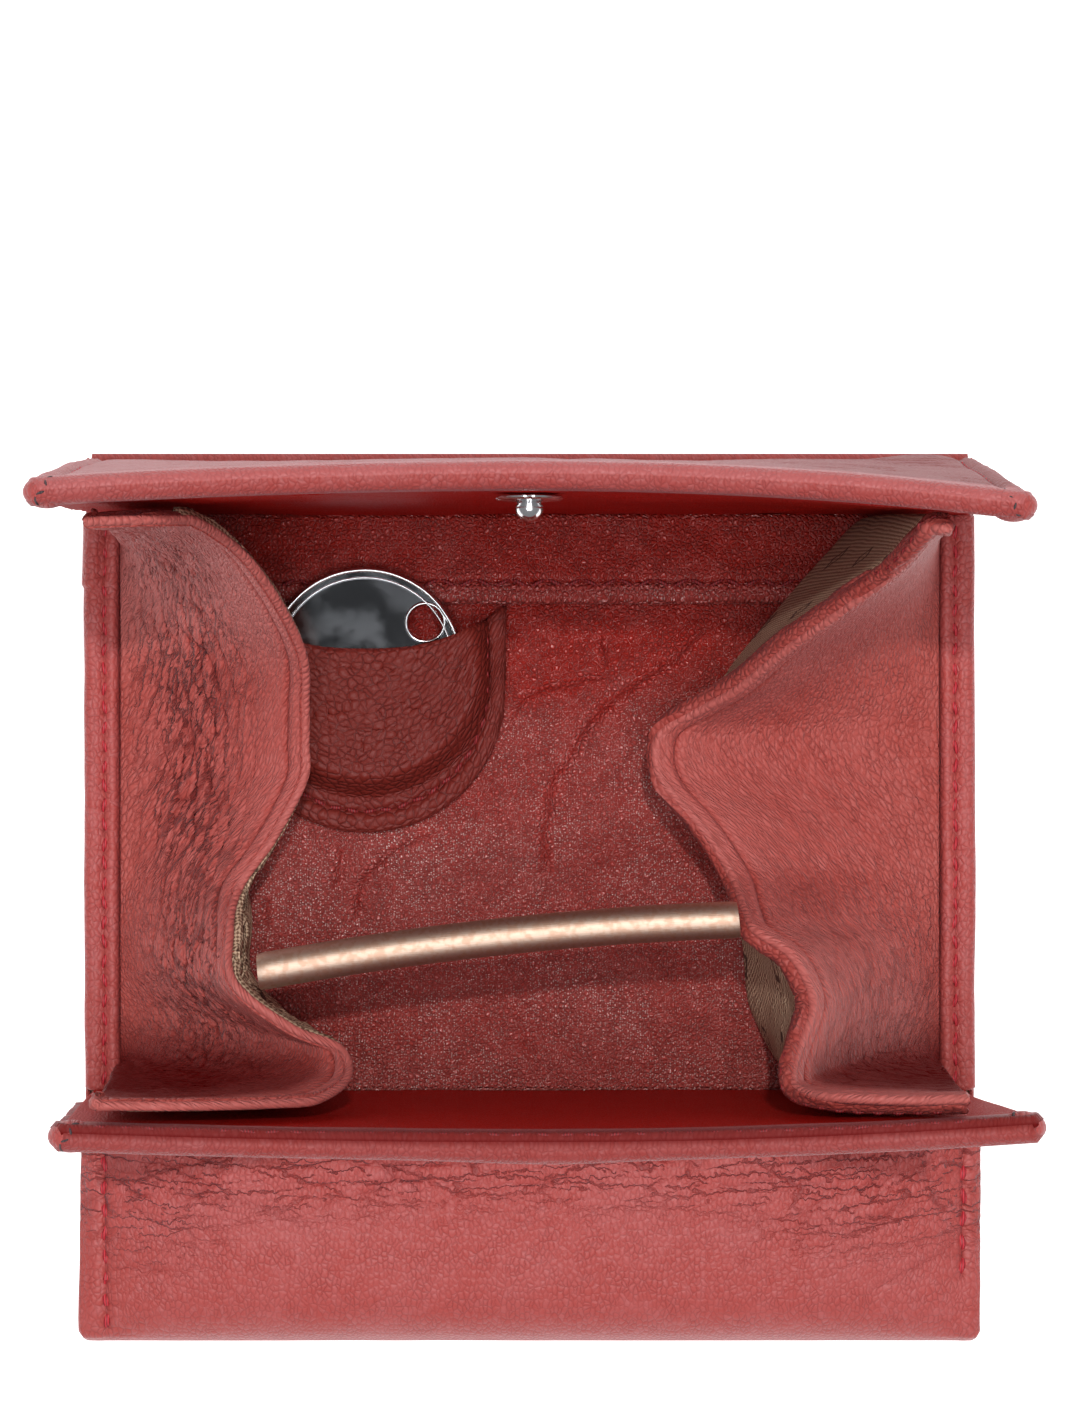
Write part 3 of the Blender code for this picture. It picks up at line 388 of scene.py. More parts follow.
def arc_lengths(grid):
    """Distances along the columns and along the rows of a grid, in millimetres."""
    across = np.zeros(grid.shape[:2])
    down = np.zeros(grid.shape[:2])
    across[:, 1:] = np.cumsum(np.linalg.norm(np.diff(grid, axis=1), axis=2), axis=1)
    down[1:, :] = np.cumsum(np.linalg.norm(np.diff(grid, axis=0), axis=2), axis=0)
    across -= across[:, across.shape[1] // 2][:, None]
    return evened(across, 0), evened(down, 1)


def row_travel(grid):
    """Distance along each row of a grid."""
    steps = np.linalg.norm(np.diff(grid, axis=1), axis=2).cumsum(axis=1)
    return np.concatenate([np.zeros((len(grid), 1)), steps], axis=1)


def stacked(x, y, z):
    """Grid of points from their coordinates."""
    return np.stack(np.broadcast_arrays(x, y, z), axis=-1)


def column_line(grid, shares, share):
    """Points where a grid's rows cross a share of its width."""
    place = np.interp(share, shares, np.arange(len(shares)))
    low = min(int(place), len(shares) - 2)
    part = place - low
    return grid[:, low] * (1 - part) + grid[:, low + 1] * part


def box_mm(node):
    """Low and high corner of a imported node, in millimetres."""
    return [np.array(corner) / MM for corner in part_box(node)]


def new_object(name, data):
    piece = bpy.data.objects.new(name, data)
    bpy.context.scene.collection.objects.link(piece)
    return piece


def add_mesh(name, points, faces, material, uvs=None, tone=None, wear=None, angle=65):
    """New piece. Without uvs its flat coordinates are X and Y. Edges over the angle stay sharp."""
    points = np.asarray(points, float)
    mesh = bpy.data.meshes.new(name)
    mesh.from_pydata((points * MM).tolist(), [], faces)
    loops = np.zeros(len(mesh.loops), int)
    mesh.loops.foreach_get("vertex_index", loops)
    uvs = points[:, :2] if uvs is None else np.asarray(uvs)
    mesh.uv_layers.new(name="flat").data.foreach_set("uv", uvs.astype(np.float32)[loops].ravel())
    for layer_name, values in (("tone", tone), ("wear", wear)):
        values = np.zeros(len(points)) if values is None else values
        attribute = mesh.attributes.new(layer_name, "FLOAT", "POINT")
        attribute.data.foreach_set("value", values.astype(np.float32))
    work = bmesh.new()
    work.from_mesh(mesh)
    bmesh.ops.recalc_face_normals(work, faces=work.faces)
    work.to_mesh(mesh)
    work.free()
    mesh.shade_smooth()
    mesh.set_sharp_from_angle(angle=radians(angle))
    mesh.materials.append(material)
    return new_object(name, mesh)


def sheet_mesh(name, grid, thickness, material, tone=0, wear=0, normals=None, uv=None, flat=(), hole=None):
    """Closed sheet around a grid, with rounded edges except at the flat ends. hole marks missing quads."""
    rows, columns = grid.shape[:2]
    normals = grid_normals(grid) if normals is None else normals
    half = np.broadcast_to(np.asarray(thickness, float), (rows, columns))[..., None] / 2
    front = (grid + normals * half).reshape(-1, 3)
    back = (grid - normals * half).reshape(-1, 3)
    border = [(0, c) for c in range(columns)] + [(r, columns - 1) for r in range(1, rows)]
    border += [(rows - 1, c) for c in range(columns - 2, -1, -1)]
    border += [(r, 0) for r in range(rows - 2, 0, -1)]
    ring = []
    for r, c in border:
        inner = grid[min(max(r, 1), rows - 2), min(max(c, 1), columns - 2)]
        out = unit(grid[r, c] - inner)
        held = (r == 0 and "first" in flat) or (r == rows - 1 and "last" in flat)
        ring.append(grid[r, c] + out * half[r, c] * (0.0 if held else 0.85))
    points = np.vstack([front, back, np.array(ring)])
    uv = np.stack(arc_lengths(grid) if uv is None else uv, axis=-1).reshape(-1, 2)
    ring_index = np.array([r * columns + c for r, c in border])
    uvs = np.vstack([uv, uv, uv[ring_index] + RIM_STEP])
    layers = [np.broadcast_to(layer, (rows, columns)).ravel() for layer in (tone, wear)]
    tones, wears = (np.concatenate([layer, layer, layer[ring_index]]) for layer in layers)
    offset = rows * columns
    first = (np.arange(rows - 1)[:, None] * columns + np.arange(columns - 1)[None, :]).ravel()
    top = np.stack([first, first + 1, first + columns + 1, first + columns], axis=1)
    walls = []
    if hole is not None:
        edges = {pair for quad in top[hole.ravel()].tolist() for pair in zip(quad, quad[1:] + quad[:1])}
        walls = [(a, b, b + offset, a + offset) for a, b in sorted(edges) if (b, a) not in edges]
        top = top[~hole.ravel()]
    rim = np.arange(len(border))
    following = np.roll(rim, -1)
    there = np.roll(ring_index, -1)
    upper = np.stack([ring_index, rim + 2 * offset, following + 2 * offset, there], axis=1)
    lower = np.stack([rim + 2 * offset, ring_index + offset, there + offset, following + 2 * offset], axis=1)
    faces = np.vstack([top, top[:, ::-1] + offset, upper, lower]).tolist() + walls
    return add_mesh(name, points, faces, material, uvs, tones, wears)


def ring_faces(first, rings, segments, closed=False):
    """Faces between rings of points, with a cap at each end unless the last ring joins the first."""
    faces = []
    for index in range(rings if closed else rings - 1):
        low = first + index * segments
        high = first + (index + 1) % rings * segments
        for step in range(segments):
            following = (step + 1) % segments
            faces.append((low + step, low + following, high + following, high + step))
    if not closed:
        last = first + (rings - 1) * segments
        faces.append(tuple(range(first, first + segments))[::-1])
        faces.append(tuple(range(last, last + segments)))
    return faces


def circle(segments):
    """Cosine and sine of each step of a turn."""
    return [(cos(2 * pi * step / segments), sin(2 * pi * step / segments)) for step in range(segments)]


def lathe(name, profile, segments, place, material, closed=False, angle=40):
    """Turned body from radius and height pairs."""
    turn = circle(segments)
    points = [place(radius * c, radius * s, height) for radius, height in profile for c, s in turn]
    faces = ring_faces(0, len(profile), segments, closed)
    return add_mesh(name, points, faces, material, angle=angle)


def wire_ring(radius, height, wire):
    """Profile of a ring of round wire, for lathe."""
    return [(radius + wire * cos(t), height + wire * sin(t)) for t in np.linspace(0, 2 * pi, 13)[:-1]]


def stitch_row(name, line, normal, material, pitch, share, radius, sway=0.0, lift=0.0):
    """Row of short threads along a line of points, sunk at their ends. Each takes a share of the pitch."""
    line = np.asarray(line, float)
    normal = np.broadcast_to(np.asarray(normal, float), line.shape)
    travel = row_travel(line[None])[0]
    points = []
    faces = []
    rings = 6
    segments = 7
    for number in range(int(travel[-1] / pitch)):
        start = number * pitch + pitch * (1 - share) / 2
        places = np.linspace(start, start + pitch * share, rings)
        centre = np.stack([np.interp(places, travel, line[:, k]) for k in range(3)], axis=1)
        up = unit(np.stack([np.interp(places, travel, normal[:, k]) for k in range(3)], axis=1))
        along = unit(centre[-1] - centre[0])
        side = unit(np.cross(up, along))
        arch = np.sin(np.linspace(0, pi, rings))
        lean = np.linspace(-1, 1, rings) * sway * (1 if number % 2 else -1)
        centre = centre + up * (lift + radius * (arch[:, None] - 0.75)) + side * lean[:, None]
        faces += ring_faces(len(points), rings, segments)
        for index in range(rings):
            size = radius * (0.45 + 0.55 * arch[index])
            points += [centre[index] + (side[index] * c + up[index] * s) * size for c, s in circle(segments)]
    return add_mesh(name, points, faces, material)


def settle(piece, slot, body=None, nodes=()):
    """The body that the piece rides and the nodes that it stands for, which are hidden. slot is not used."""
    if nodes:
        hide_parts(*nodes)
    if body:
        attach(piece, body)


def sheet(name, grid, thickness, material, slot, body=None, nodes=(), held=None, rests_on=(), **looks):
    """Sheet around a grid. For a held one the lengths across and down its middle surface are measured and not
    used.
    """
    piece = sheet_mesh(name, grid, thickness, material, **looks)
    if held:
        across = np.linalg.norm(np.diff(grid, axis=1), axis=2).sum(axis=1).max()
        down = np.linalg.norm(np.diff(grid, axis=0), axis=2).sum(axis=0).max()
        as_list(rests_on)
    settle(piece, slot, body, nodes)
    return piece


def bend(piece, panel, start, end):
    """Bake a sheet's placement into its mesh; it is not bent. start and end, each a Y and a height over the
    panel's hinge, are made into points that are not used.
    """
    start, end = ((0, y * MM, (FLOOR_Z + panel.hinge + up) * MM) for y, up in (start, end))
    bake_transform(piece)
    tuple(start)
    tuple(end)


def solid(colour):
    """A plain colour with its alpha. A link stays as it is."""
    return (*colour, 1.0) if isinstance(colour, tuple) else colour


class Paint:
    """A new node material, with short calls for the nodes that recur."""

    def __init__(self, name):
        self.material = bpy.data.materials.new(name)
        self.material.use_nodes = True
        self.tree = self.material.node_tree
        self.shader = self.tree.nodes["Principled BSDF"]

    def fill(self, node, inputs):
        for key, value in inputs.items():
            if isinstance(value, bpy.types.NodeSocket):
                self.tree.links.new(value, node.inputs[key])
            else:
                node.inputs[key].default_value = value

    def add(self, kind, inputs, output=0, **settings):
        node = self.tree.nodes.new("ShaderNode" + kind)
        for key, value in settings.items():
            setattr(node, key, value)
        self.fill(node, inputs)
        return node.outputs[output]

    def maths(self, operation, first, second=0.0, third=0.0):
        return self.add("Math", {0: first, 1: second, 2: third}, operation=operation)

    def times(self, first, second):
        return self.maths("MULTIPLY", first, second)

    def remap(self, value, low, high, new_low=0.0, new_high=1.0):
        inputs = {"Value": value, "From Min": low, "From Max": high, "To Min": new_low, "To Max": new_high}
        return self.add("MapRange", inputs, interpolation_type="SMOOTHSTEP")

    def mix(self, factor, first, second):
        return self.add("Mix", {0: factor, 6: solid(first), 7: solid(second)}, 2, data_type="RGBA")

    def noise(self, place, scale, detail, output="Fac"):
        return self.add("TexNoise", {"Vector": place, "Scale": scale, "Detail": detail}, output)

    def cells(self, place, scale, feature="DISTANCE_TO_EDGE", output="Distance"):
        settings = {"feature": feature, "voronoi_dimensions": "2D"}
        return self.add("TexVoronoi", {"Vector": place, "Scale": scale}, output, **settings)

    def scaled(self, place, scale):
        return self.add("Mapping", {"Vector": place, "Scale": scale})

    def attribute(self, name):
        return self.add("Attribute", {}, "Fac", attribute_name=name)

    def axes(self, place):
        return [self.add("SeparateXYZ", {"Vector": place}, axis) for axis in (0, 1)]

    def bump(self, height, distance, strength=1.0):
        inputs = {"Height": height, "Strength": strength, "Distance": distance * MM}
        self.fill(self.shader, {"Normal": self.add("Bump", inputs)})


def leather(
    name, base, deep, light, pebbles=1.5, stretch=(1.0, 1.0), line=0.2, lines=0.3, relief=0.08, rough=0.5,
    mottle=0.3, creases=(2.0, 5.0), thin=0.09, start=0.40, specular=0.5, sheen=0.0, glints=0.0,
):
    """Grained leather. pebbles and stretch give the grain per millimetre, line and lines the width and
    darkness of its valleys, and relief its depth. creases, thin and start are the cells, the width and the
    threshold of the network on worn leather, whose crease lines are also darkened as painted shade. The
    attribute tone carries painted shade and light, from -1, deep and dull, to 1, light; glints adds painted
    glints."""
    paint = Paint(name)
    flat = paint.add("TexCoord", {}, "UV")
    warp = paint.noise(flat, 1.3, 2.0, "Color")
    shift = paint.add("VectorMath", {0: warp, 1: (0.5, 0.5, 0.5)}, operation="SUBTRACT")
    moved = []
    for amount in (0.5, 1.4):
        step = paint.add("VectorMath", {0: shift, "Scale": amount}, operation="SCALE")
        moved.append(paint.add("VectorMath", {0: flat, 1: step}, operation="ADD"))
    grain = paint.scaled(moved[0], (*stretch, 1.0))
    edges = paint.cells(grain, pebbles)
    valley = paint.maths("SUBTRACT", 1.0, paint.remap(edges, 0.0, line))
    dome = paint.remap(edges, 0.0, 0.5)
    tint = paint.add("SeparateColor", {0: paint.cells(grain, pebbles, "F1", "Color")})
    valley = paint.times(valley, paint.remap(paint.noise(flat, 0.35, 2.0), 0.3, 0.7, 0.45, 1.0))
    fine = paint.noise(flat, 5.0, 3.0)
    middle = paint.noise(grain, 0.9, 3.0)
    broad = paint.noise(flat, 0.09, 3.0)
    worn = 0.0
    for size, width, open_from in ((1.0, thin, start), (0.5, thin * 1.2, start + 0.07)):
        place = paint.scaled(moved[1], (1 / (creases[0] * size), 1 / (creases[1] * size), 1.0))
        crack = paint.maths("SUBTRACT", 1.0, paint.remap(paint.cells(place, 1.0), 0.0, width))
        gaps = paint.remap(paint.noise(place, 1.3, 1.0), open_from, open_from + 0.14)
        worn = paint.maths("MAXIMUM", worn, paint.times(crack, gaps))
    worn = paint.times(worn, paint.attribute("wear"))
    height = paint.maths("MULTIPLY_ADD", dome, 0.7, paint.times(fine, 0.3))
    for part, amount in ((middle, 0.5), (valley, -0.4), (worn, -3.6)):
        height = paint.maths("MULTIPLY_ADD", part, amount, height)
    paint.bump(height, relief)
    spots = paint.times(paint.times(tint, paint.remap(middle, 0.35, 0.7)), mottle)
    colour = paint.mix(spots, base, light)
    colour = paint.mix(paint.remap(broad, 0.4, 0.7, 0.0, mottle * 0.5), colour, light)
    # The grain's valleys and the crease lines darken towards deep; in the crease lines this is painted shade
    # over their real relief
    dark = paint.maths("MAXIMUM", paint.times(valley, lines), paint.times(worn, 0.8))
    colour = paint.mix(dark, colour, deep)
    # tone mixes towards light where light is painted and towards deep where shade is painted
    tone = paint.attribute("tone")
    colour = paint.mix(paint.maths("MAXIMUM", tone, 0.0), colour, light)
    colour = paint.mix(paint.maths("MAXIMUM", paint.times(tone, -1.0), 0.0), colour, deep)
    # Pale dots are painted glints, stronger where more light is painted
    if glints:
        pick = paint.add("SeparateColor", {0: paint.cells(flat, GLINT_CELLS, "F1", "Color")})
        dots = paint.maths("SUBTRACT", 1.0, paint.remap(paint.cells(flat, GLINT_CELLS, "F1"), 0.10, 0.36))
        dots = paint.times(dots, paint.remap(pick, 0.45, 0.75, 0.0, glints))
        dots = paint.times(dots, paint.remap(broad, 0.35, 0.62, 0.3, 1.0))
        dots = paint.times(dots, paint.remap(tone, 0.0, 0.45, 0.12, 1.0))
        colour = paint.mix(dots, colour, GLINT_COLOUR)
    # Painted shade also dulls the specular and the sheen
    lit = paint.maths("MAXIMUM", paint.maths("MINIMUM", paint.maths("ADD", tone, 1.0), 1.0), 0.0)
    paint.fill(paint.shader, {
        "Base Color": colour,
        "Roughness": paint.maths("MULTIPLY_ADD", fine, 0.25, rough - 0.12),
        "Specular IOR Level": paint.times(lit, specular),
        "Sheen Weight": paint.times(lit, sheen),
        "Sheen Roughness": 0.4,
        "Sheen Tint": (0.86, 0.80, 0.95, 1.0),
    })
    return paint.material


def fabric_material():
    """Woven lining: beige and brown dots, with small brown lozenges."""
    paint = Paint("lining_weave")
    flat = paint.add("TexCoord", {}, "UV")
    turned = paint.add("Mapping", {"Vector": flat, "Rotation": (0.0, 0.0, radians(45))})
    waves = 2 * pi / WEAVE_PITCH
    warp, weft = (paint.maths("SINE", paint.times(axis, waves)) for axis in paint.axes(turned))
    dots = paint.remap(paint.times(warp, weft), -0.45, 0.35)
    colour = paint.mix(dots, (0.17, 0.085, 0.05), (0.58, 0.40, 0.27))
    cells = [paint.maths("PINGPONG", axis, size) for axis, size in zip(paint.axes(flat), (6.5, 5.5))]
    across, down = (paint.maths("ABSOLUTE", cell) for cell in cells)
    shape = paint.maths("MULTIPLY_ADD", across, 1.4, down)
    ring = paint.maths("ABSOLUTE", paint.maths("SUBTRACT", shape, 1.9))
    colour = paint.mix(paint.remap(ring, 0.35, 0.6, 0.9, 0.0), colour, (0.05, 0.018, 0.012))
    paint.bump(dots, 0.10, 0.8)
    paint.fill(paint.shader, {"Base Color": colour, "Roughness": 0.8})
    return paint.material


def thread_material(name, colour):
    """Twisted thread, darkened between its strands as painted shade."""
    paint = Paint(name)
    place = paint.add("TexCoord", {}, "Object")
    strands = paint.add("TexWave", {"Vector": place, "Scale": 900.0, "Distortion": 2.0}, "Fac")
    dark = tuple(channel * 0.45 for channel in colour)
    paint.bump(strands, 0.05)
    paint.fill(paint.shader, {"Base Color": paint.mix(strands, dark, colour), "Roughness": 0.6})
    return paint.material


def metal_material(name, colour, rough, marks, second=None, relief=0.004, patchy=260.0):
    """Plated metal with fine scratches and worn patches. marks is how much rougher the patches are."""
    paint = Paint(name)
    place = paint.add("TexCoord", {}, "Object")
    lines = paint.noise(paint.scaled(place, (1.0, 12.0, 1.0)), 900.0, 3.0)
    worn = paint.remap(paint.noise(place, patchy, 4.0), 0.42, 0.62)
    paint.bump(lines, relief)
    paint.fill(paint.shader, {
        "Base Color": paint.mix(worn, colour, second or colour),
        "Roughness": paint.maths("MULTIPLY_ADD", worn, marks, rough),
        "Metallic": 1.0,
    })
    return paint.material


def board_material(name, colour, speckle):
    """Matt board or fleece with fine fibres."""
    paint = Paint(name)
    fibres = paint.noise(paint.add("TexCoord", {}, "Object"), 1500.0, 4.0)
    paint.bump(fibres, 0.1)
    paint.fill(paint.shader, {"Base Color": paint.mix(fibres, colour, speckle), "Roughness": 0.9})
    return paint.material


OUTER = leather(
    "outer_pebbled", (0.40, 0.062, 0.054), (0.13, 0.008, 0.008), (0.48, 0.14, 0.14), pebbles=1.45,
    stretch=(1.25, 0.8), relief=0.07, lines=0.34, mottle=0.45, creases=(13.0, 2.4), thin=0.06, start=0.35,
    specular=0.35, sheen=0.1,
)
GUSSET = leather(
    "gusset_pebbled", (0.395, 0.065, 0.052), (0.11, 0.005, 0.005), (0.50, 0.14, 0.125), pebbles=1.2,
    stretch=(1.2, 0.9), relief=0.13, lines=0.46, mottle=0.4, creases=(2.3, 8.0), thin=0.12, start=0.36,
    specular=0.25, sheen=0.04,
)
INNER = leather(
    "inner_smooth", (0.36, 0.016, 0.010), (0.12, 0.003, 0.002), (0.42, 0.115, 0.105), pebbles=1.8,
    line=0.25, relief=0.32, rough=0.30, lines=0.5, mottle=0.25, specular=0.9, glints=0.95,
)
# Painted shade: a more saturated, duller copy of the lining leather for the inner faces of the flap and the
# front wall
INNER_PAINTED_SHADE = leather(
    "inner_lining_painted_shade", (0.38, 0.006, 0.003), (0.15, 0.002, 0.001), (0.42, 0.015, 0.012), pebbles=2.2,
    relief=0.07, rough=0.55, lines=0.25, mottle=0.12, specular=0.12,
)
POCKET = leather(
    "pocket_pebbled", (0.155, 0.015, 0.010), (0.040, 0.002, 0.002), (0.20, 0.030, 0.024), pebbles=1.05,
    stretch=(0.85, 1.15), line=0.14, relief=0.15, rough=0.52, lines=0.62, mottle=0.4, specular=0.25,
)
FABRIC = fabric_material()
THREAD = thread_material("red_thread", (0.58, 0.030, 0.045))
THREAD_DEEP = thread_material("deep_thread", (0.27, 0.014, 0.018))
THREAD_DARK = thread_material("dark_thread", (0.07, 0.045, 0.05))
CHROME = metal_material("chrome", (0.80, 0.80, 0.81), 0.07, 0.12)
DARK_CHROME = metal_material("dark_chrome", (0.30, 0.31, 0.33), 0.05, 0.06)
COPPER = metal_material("copper", (0.50, 0.37, 0.29), 0.50, 0.03, (0.46, 0.30, 0.22), 0.012, 1300.0)
BOARD = board_material("stiff_board", (0.36, 0.28, 0.19), (0.26, 0.2, 0.14))
FLEECE = board_material("padding_fleece", (0.72, 0.69, 0.62), (0.58, 0.55, 0.5))


def square(name, half, place, paint):
    """Flat square for the studio. half is half its side, in metres."""
    mesh = bpy.data.meshes.new(name)
    corners = [(x * half, y * half, 0) for x, y in ((-1, -1), (1, -1), (1, 1), (-1, 1))]
    mesh.from_pydata(corners, [], [(0, 1, 2, 3)])
    mesh.materials.append(paint.material)
    piece = new_object(name, mesh)
    piece.location = place
    return piece


def make_stage():
    """Camera over the box, pale floor, soft lights, and a dark card that only reflections see."""
    scene = bpy.context.scene
    camera = bpy.data.cameras.new("camera")
    camera.sensor_fit = "HORIZONTAL"
    camera.sensor_width = SENSOR
    camera.lens = SENSOR * FOCAL / PHOTO_WIDTH
    camera.clip_start = 0.01
    scene.camera = new_object("camera", camera)
    scene.camera.location = (0.0, 0.0, CAMERA_HEIGHT)

    paper = Paint("floor_paper")
    white = {"Base Color": (0.94, 0.94, 0.94, 1.0), "Emission Color": (1.0, 1.0, 1.0, 1.0)}
    paper.fill(paper.shader, {**white, "Roughness": 0.9, "Emission Strength": 0.55})
    square("floor", 3.0, (0.0, 0.0, -0.0002), paper)

    scene.world = bpy.data.worlds.new("studio")
    scene.world.use_nodes = True
    background = scene.world.node_tree.nodes["Background"]
    background.inputs["Color"].default_value = (0.96, 0.97, 1.0, 1.0)
    background.inputs["Strength"].default_value = 0.24

    for name, place, size, power, colour in (
        ("key", (0.05, 0.32, 1.25), 0.045, 7.0, (1.0, 0.985, 0.96)),
        ("overhead", (0.0, -0.20, 1.2), 0.75, 10.0, (0.97, 0.98, 1.0)),
    ):
        light = bpy.data.lights.new(name, "AREA")
        light.energy = power
        light.size = size
        light.color = colour
        lamp = new_object(name, light)
        lamp.location = place
        lamp.rotation_euler = (-Vector(place)).to_track_quat("-Z", "Y").to_euler()

    black = Paint("card_black")
    black.fill(black.shader, {"Base Color": (0.01, 0.01, 0.01, 1.0), "Roughness": 1.0})
    card = square("camera_card", 0.11, (0.0, -0.01, 0.62), black)
    for ray in ("camera", "shadow", "diffuse"):
        setattr(card, f"visible_{ray}", False)
    scene.view_settings.view_transform = "Standard"


def narrowing(height, lip):
    """How much narrower each side is in the rounded corners of a lip."""
    above = np.clip(height - (lip - LIP_CORNER), 0, LIP_CORNER)
    return LIP_CORNER - np.sqrt(LIP_CORNER ** 2 - above ** 2)


def rise_of(panel, height):
    """Share of the way from a panel's hinge to its lip."""
    return np.clip((height - panel.hinge) / (panel.lip - panel.hinge), 0, 1)


def bow_of(panel, share, rise):
    """How far a panel's ends bend inwards."""
    return np.where(share < 0, *panel.bows) * share ** 2 * rise


def upright_grid(panel, shares, outward, height, inset=0.0):
    """Points of a panel for a row of shares across and columns of outward and height."""
    share = shares[None, :]
    height = np.asarray(height, float)[:, None]
    outward = np.asarray(outward, float)
    outward = outward[:, None] if outward.ndim == 1 else outward
    half = BODY_HALF - inset - narrowing(height, panel.lip)
    rise = rise_of(panel, height)
    x = panel.x + panel.lean * rise + share * half
    y = panel.y + panel.away * (outward - bow_of(panel, share * half / BODY_HALF, rise))
    return stacked(x, y, FLOOR_Z + height)


def hold_clear(grid, clearance):
    """Keep points off the upright flap and front wall."""
    limits = []
    for panel in (WALL, FLAP):
        share = (grid[..., 0] - panel.x) / BODY_HALF
        bow = bow_of(panel, share, rise_of(panel, grid[..., 2] - FLOOR_Z))
        limits.append(panel.y - panel.away * (bow + clearance))
    held = grid.copy()
    held[..., 1] = np.clip(grid[..., 1], *limits)
    return held


def lip_path(lip, line, groove=0.0):
    """Outward and height along the roll of a lip and its hem. groove sinks a seam into its inner side."""
    turns = np.linspace(0, pi, 27)
    sunk = groove * bump_at(turns, 2.0, 0.22)
    radius = (PANEL_DEPTH - SKIN_T) / 2 - sunk + groove * 0.4 * bump_at(turns, HEM_TURN, 0.2)
    outward = PANEL_DEPTH / 2 + radius * np.cos(turns)
    height = lip - PANEL_DEPTH / 2 + radius * np.sin(turns)
    hem = np.linspace(lip - PANEL_DEPTH / 2 - 0.4, lip - HEM_DEPTH, 6)
    outward = np.concatenate([line[0], outward, np.full(len(hem), SKIN_T / 2)])
    height = np.concatenate([line[1], height, hem])
    return outward, height


def lip_masks(panel, outward, height):
    """Shares of a panel's skin: its outer side, the flat body of that side, and the roll over the lip."""
    outer = outward[:, None] > PANEL_DEPTH / 2
    body = outer * (1 - smooth(panel.lip - 4.5, panel.lip - 1.5, height[:, None]))
    return outer, body, smooth(panel.lip - 3.5, panel.lip - 1.5, height[:, None])


def closed_edge(out, body, edge, reach, target):
    """Draw the body of a panel's skin in towards its side edges."""
    return out - body * np.clip(1 - edge / reach, 0, 1) ** 2 * (out - target)


def flap_line(height):
    """How far out the flap's skin lies: the flap is thicker towards its root."""
    span = FLAP.lip - PANEL_DEPTH / 2 - FLAP.hinge
    down = np.clip((FLAP.lip - PANEL_DEPTH / 2 - height) / span, 0, 1)
    return PANEL_DEPTH - SKIN_T / 2 + FLAP_ROOT_EXTRA * down ** 0.9


def edge_distance(shares):
    """Distance from the side edges, as one row."""
    return (1 - np.abs(shares))[None, :] * BODY_HALF


def even_columns(count, squeeze=0.0):
    """Shares from -1 to 1, denser near the ends."""
    places = np.linspace(-1, 1, count)
    return places + squeeze * np.sin(pi * places) / pi


def make_flap():
    """The flap's skin round its lip, with its side seams, and its lining."""
    shares = even_columns(221, 0.3)
    edge = edge_distance(shares)
    root = np.linspace(-0.8, FLAP.hinge - 1, 12)
    heights = np.concatenate([root, np.linspace(FLAP.hinge, FLAP.lip - PANEL_DEPTH / 2 - 0.2, 72)])
    outward, height = lip_path(FLAP.lip, (flap_line(heights), heights))
    x = shares[None, :] * BODY_HALF
    h = height[:, None]
    outer, body, roll = lip_masks(FLAP, outward, height)
    holes = pulse(h, FLAP_PITCH, 0.25) * bump_at(edge, FLAP_SEAM, 0.35) * body
    out = closed_edge(outward[:, None], body, edge, 2.2, 1.5)
    out = out - body * 0.55 * bump_at(edge, FLAP_SEAM, 0.55) - 0.3 * holes
    out = out + body * (0.45 * bump_at(edge, 1.5, 1.0) + 0.35 * clouds(x, h, 16.0, 3))
    folds = body * (0.35 + 0.65 * smooth(-10, 20, x)) * cracks(x, h, (14.0, 1.5), 5, 0.14)
    out = out - 0.16 * folds
    out = out + body * (0.8 * patch(x, h, (45, 9), (5, 5)) + 0.4 * patch(x, h, (-47, 6), (4, 5)))
    out = out - body * 0.25 * bump_at(h, FLAP.hinge, 1.2)
    out = out + roll * 0.1 * clouds(x, h, 16.0, 7, 2)
    grid = upright_grid(FLAP, shares, out, height)
    grid[..., 2] += roll * 0.2 * clouds(x, outward[:, None], 18.0, 9, 2)
    # Painted highlight on the roll over the lip; painted shade in the folds, stitch holes and on the inner
    # side, and on the flat body, more towards the right
    tone = 0.45 * roll * outer - 0.10 * folds - 0.7 * holes - 0.2 * (1 - outer)
    tone = tone - body * (1 - roll) * (0.15 + 0.35 * smooth(0, 45, x))
    u, v = arc_lengths(grid)
    skin = sheet(
        "flap_skin", grid, SKIN_T, OUTER, "outer_leather", None, ["flap_leather", "spine_leather"],
        "folded", ["flap_padding", "flap_stiffener"], tone=tone, uv=(u, 1.7 * v),
    )
    bend(skin, FLAP, (BACK_Y, -4), (BACK_Y, 4))
    normals = -grid_normals(grid)
    surface = grid + normals * SKIN_T / 2
    rows = slice(14, 80)
    for name, side in SIDES:
        share = side * (1 - FLAP_SEAM / BODY_HALF)
        line, facing = (column_line(part, shares, share)[rows] for part in (surface, normals))
        seam = stitch_row(f"flap_seam_{name}", line, facing, THREAD, FLAP_PITCH, 0.78, 0.24, sway=0.08)
        settle(seam, "outer_leather", "flap")

    heights = np.linspace(-0.5, FLAP.lip - HEM_DEPTH - 0.3, 80)
    x = shares[None, :] * (BODY_HALF - 1)
    h = heights[:, None]
    out = 0.45 + 0.25 * clouds(x, h, 12.0, 21) - 0.1 * cracks(x, h, (6.0, 3.0), 23)
    out = np.maximum(out, 0.25) - 0.12 * bump_at(h, FLAP.hinge, 1.5)
    grid = upright_grid(FLAP, shares, out, heights, 0.8)
    nodes = ["flap_lining", "spine_lining"]
    rests_on = ["flap_stiffener"]
    lining = sheet("flap_inner", grid, 0.7, INNER_PAINTED_SHADE, "inner_leather", None, nodes, "laid", rests_on)
    bend(lining, FLAP, (BACK_Y, -3), (BACK_Y, 3))


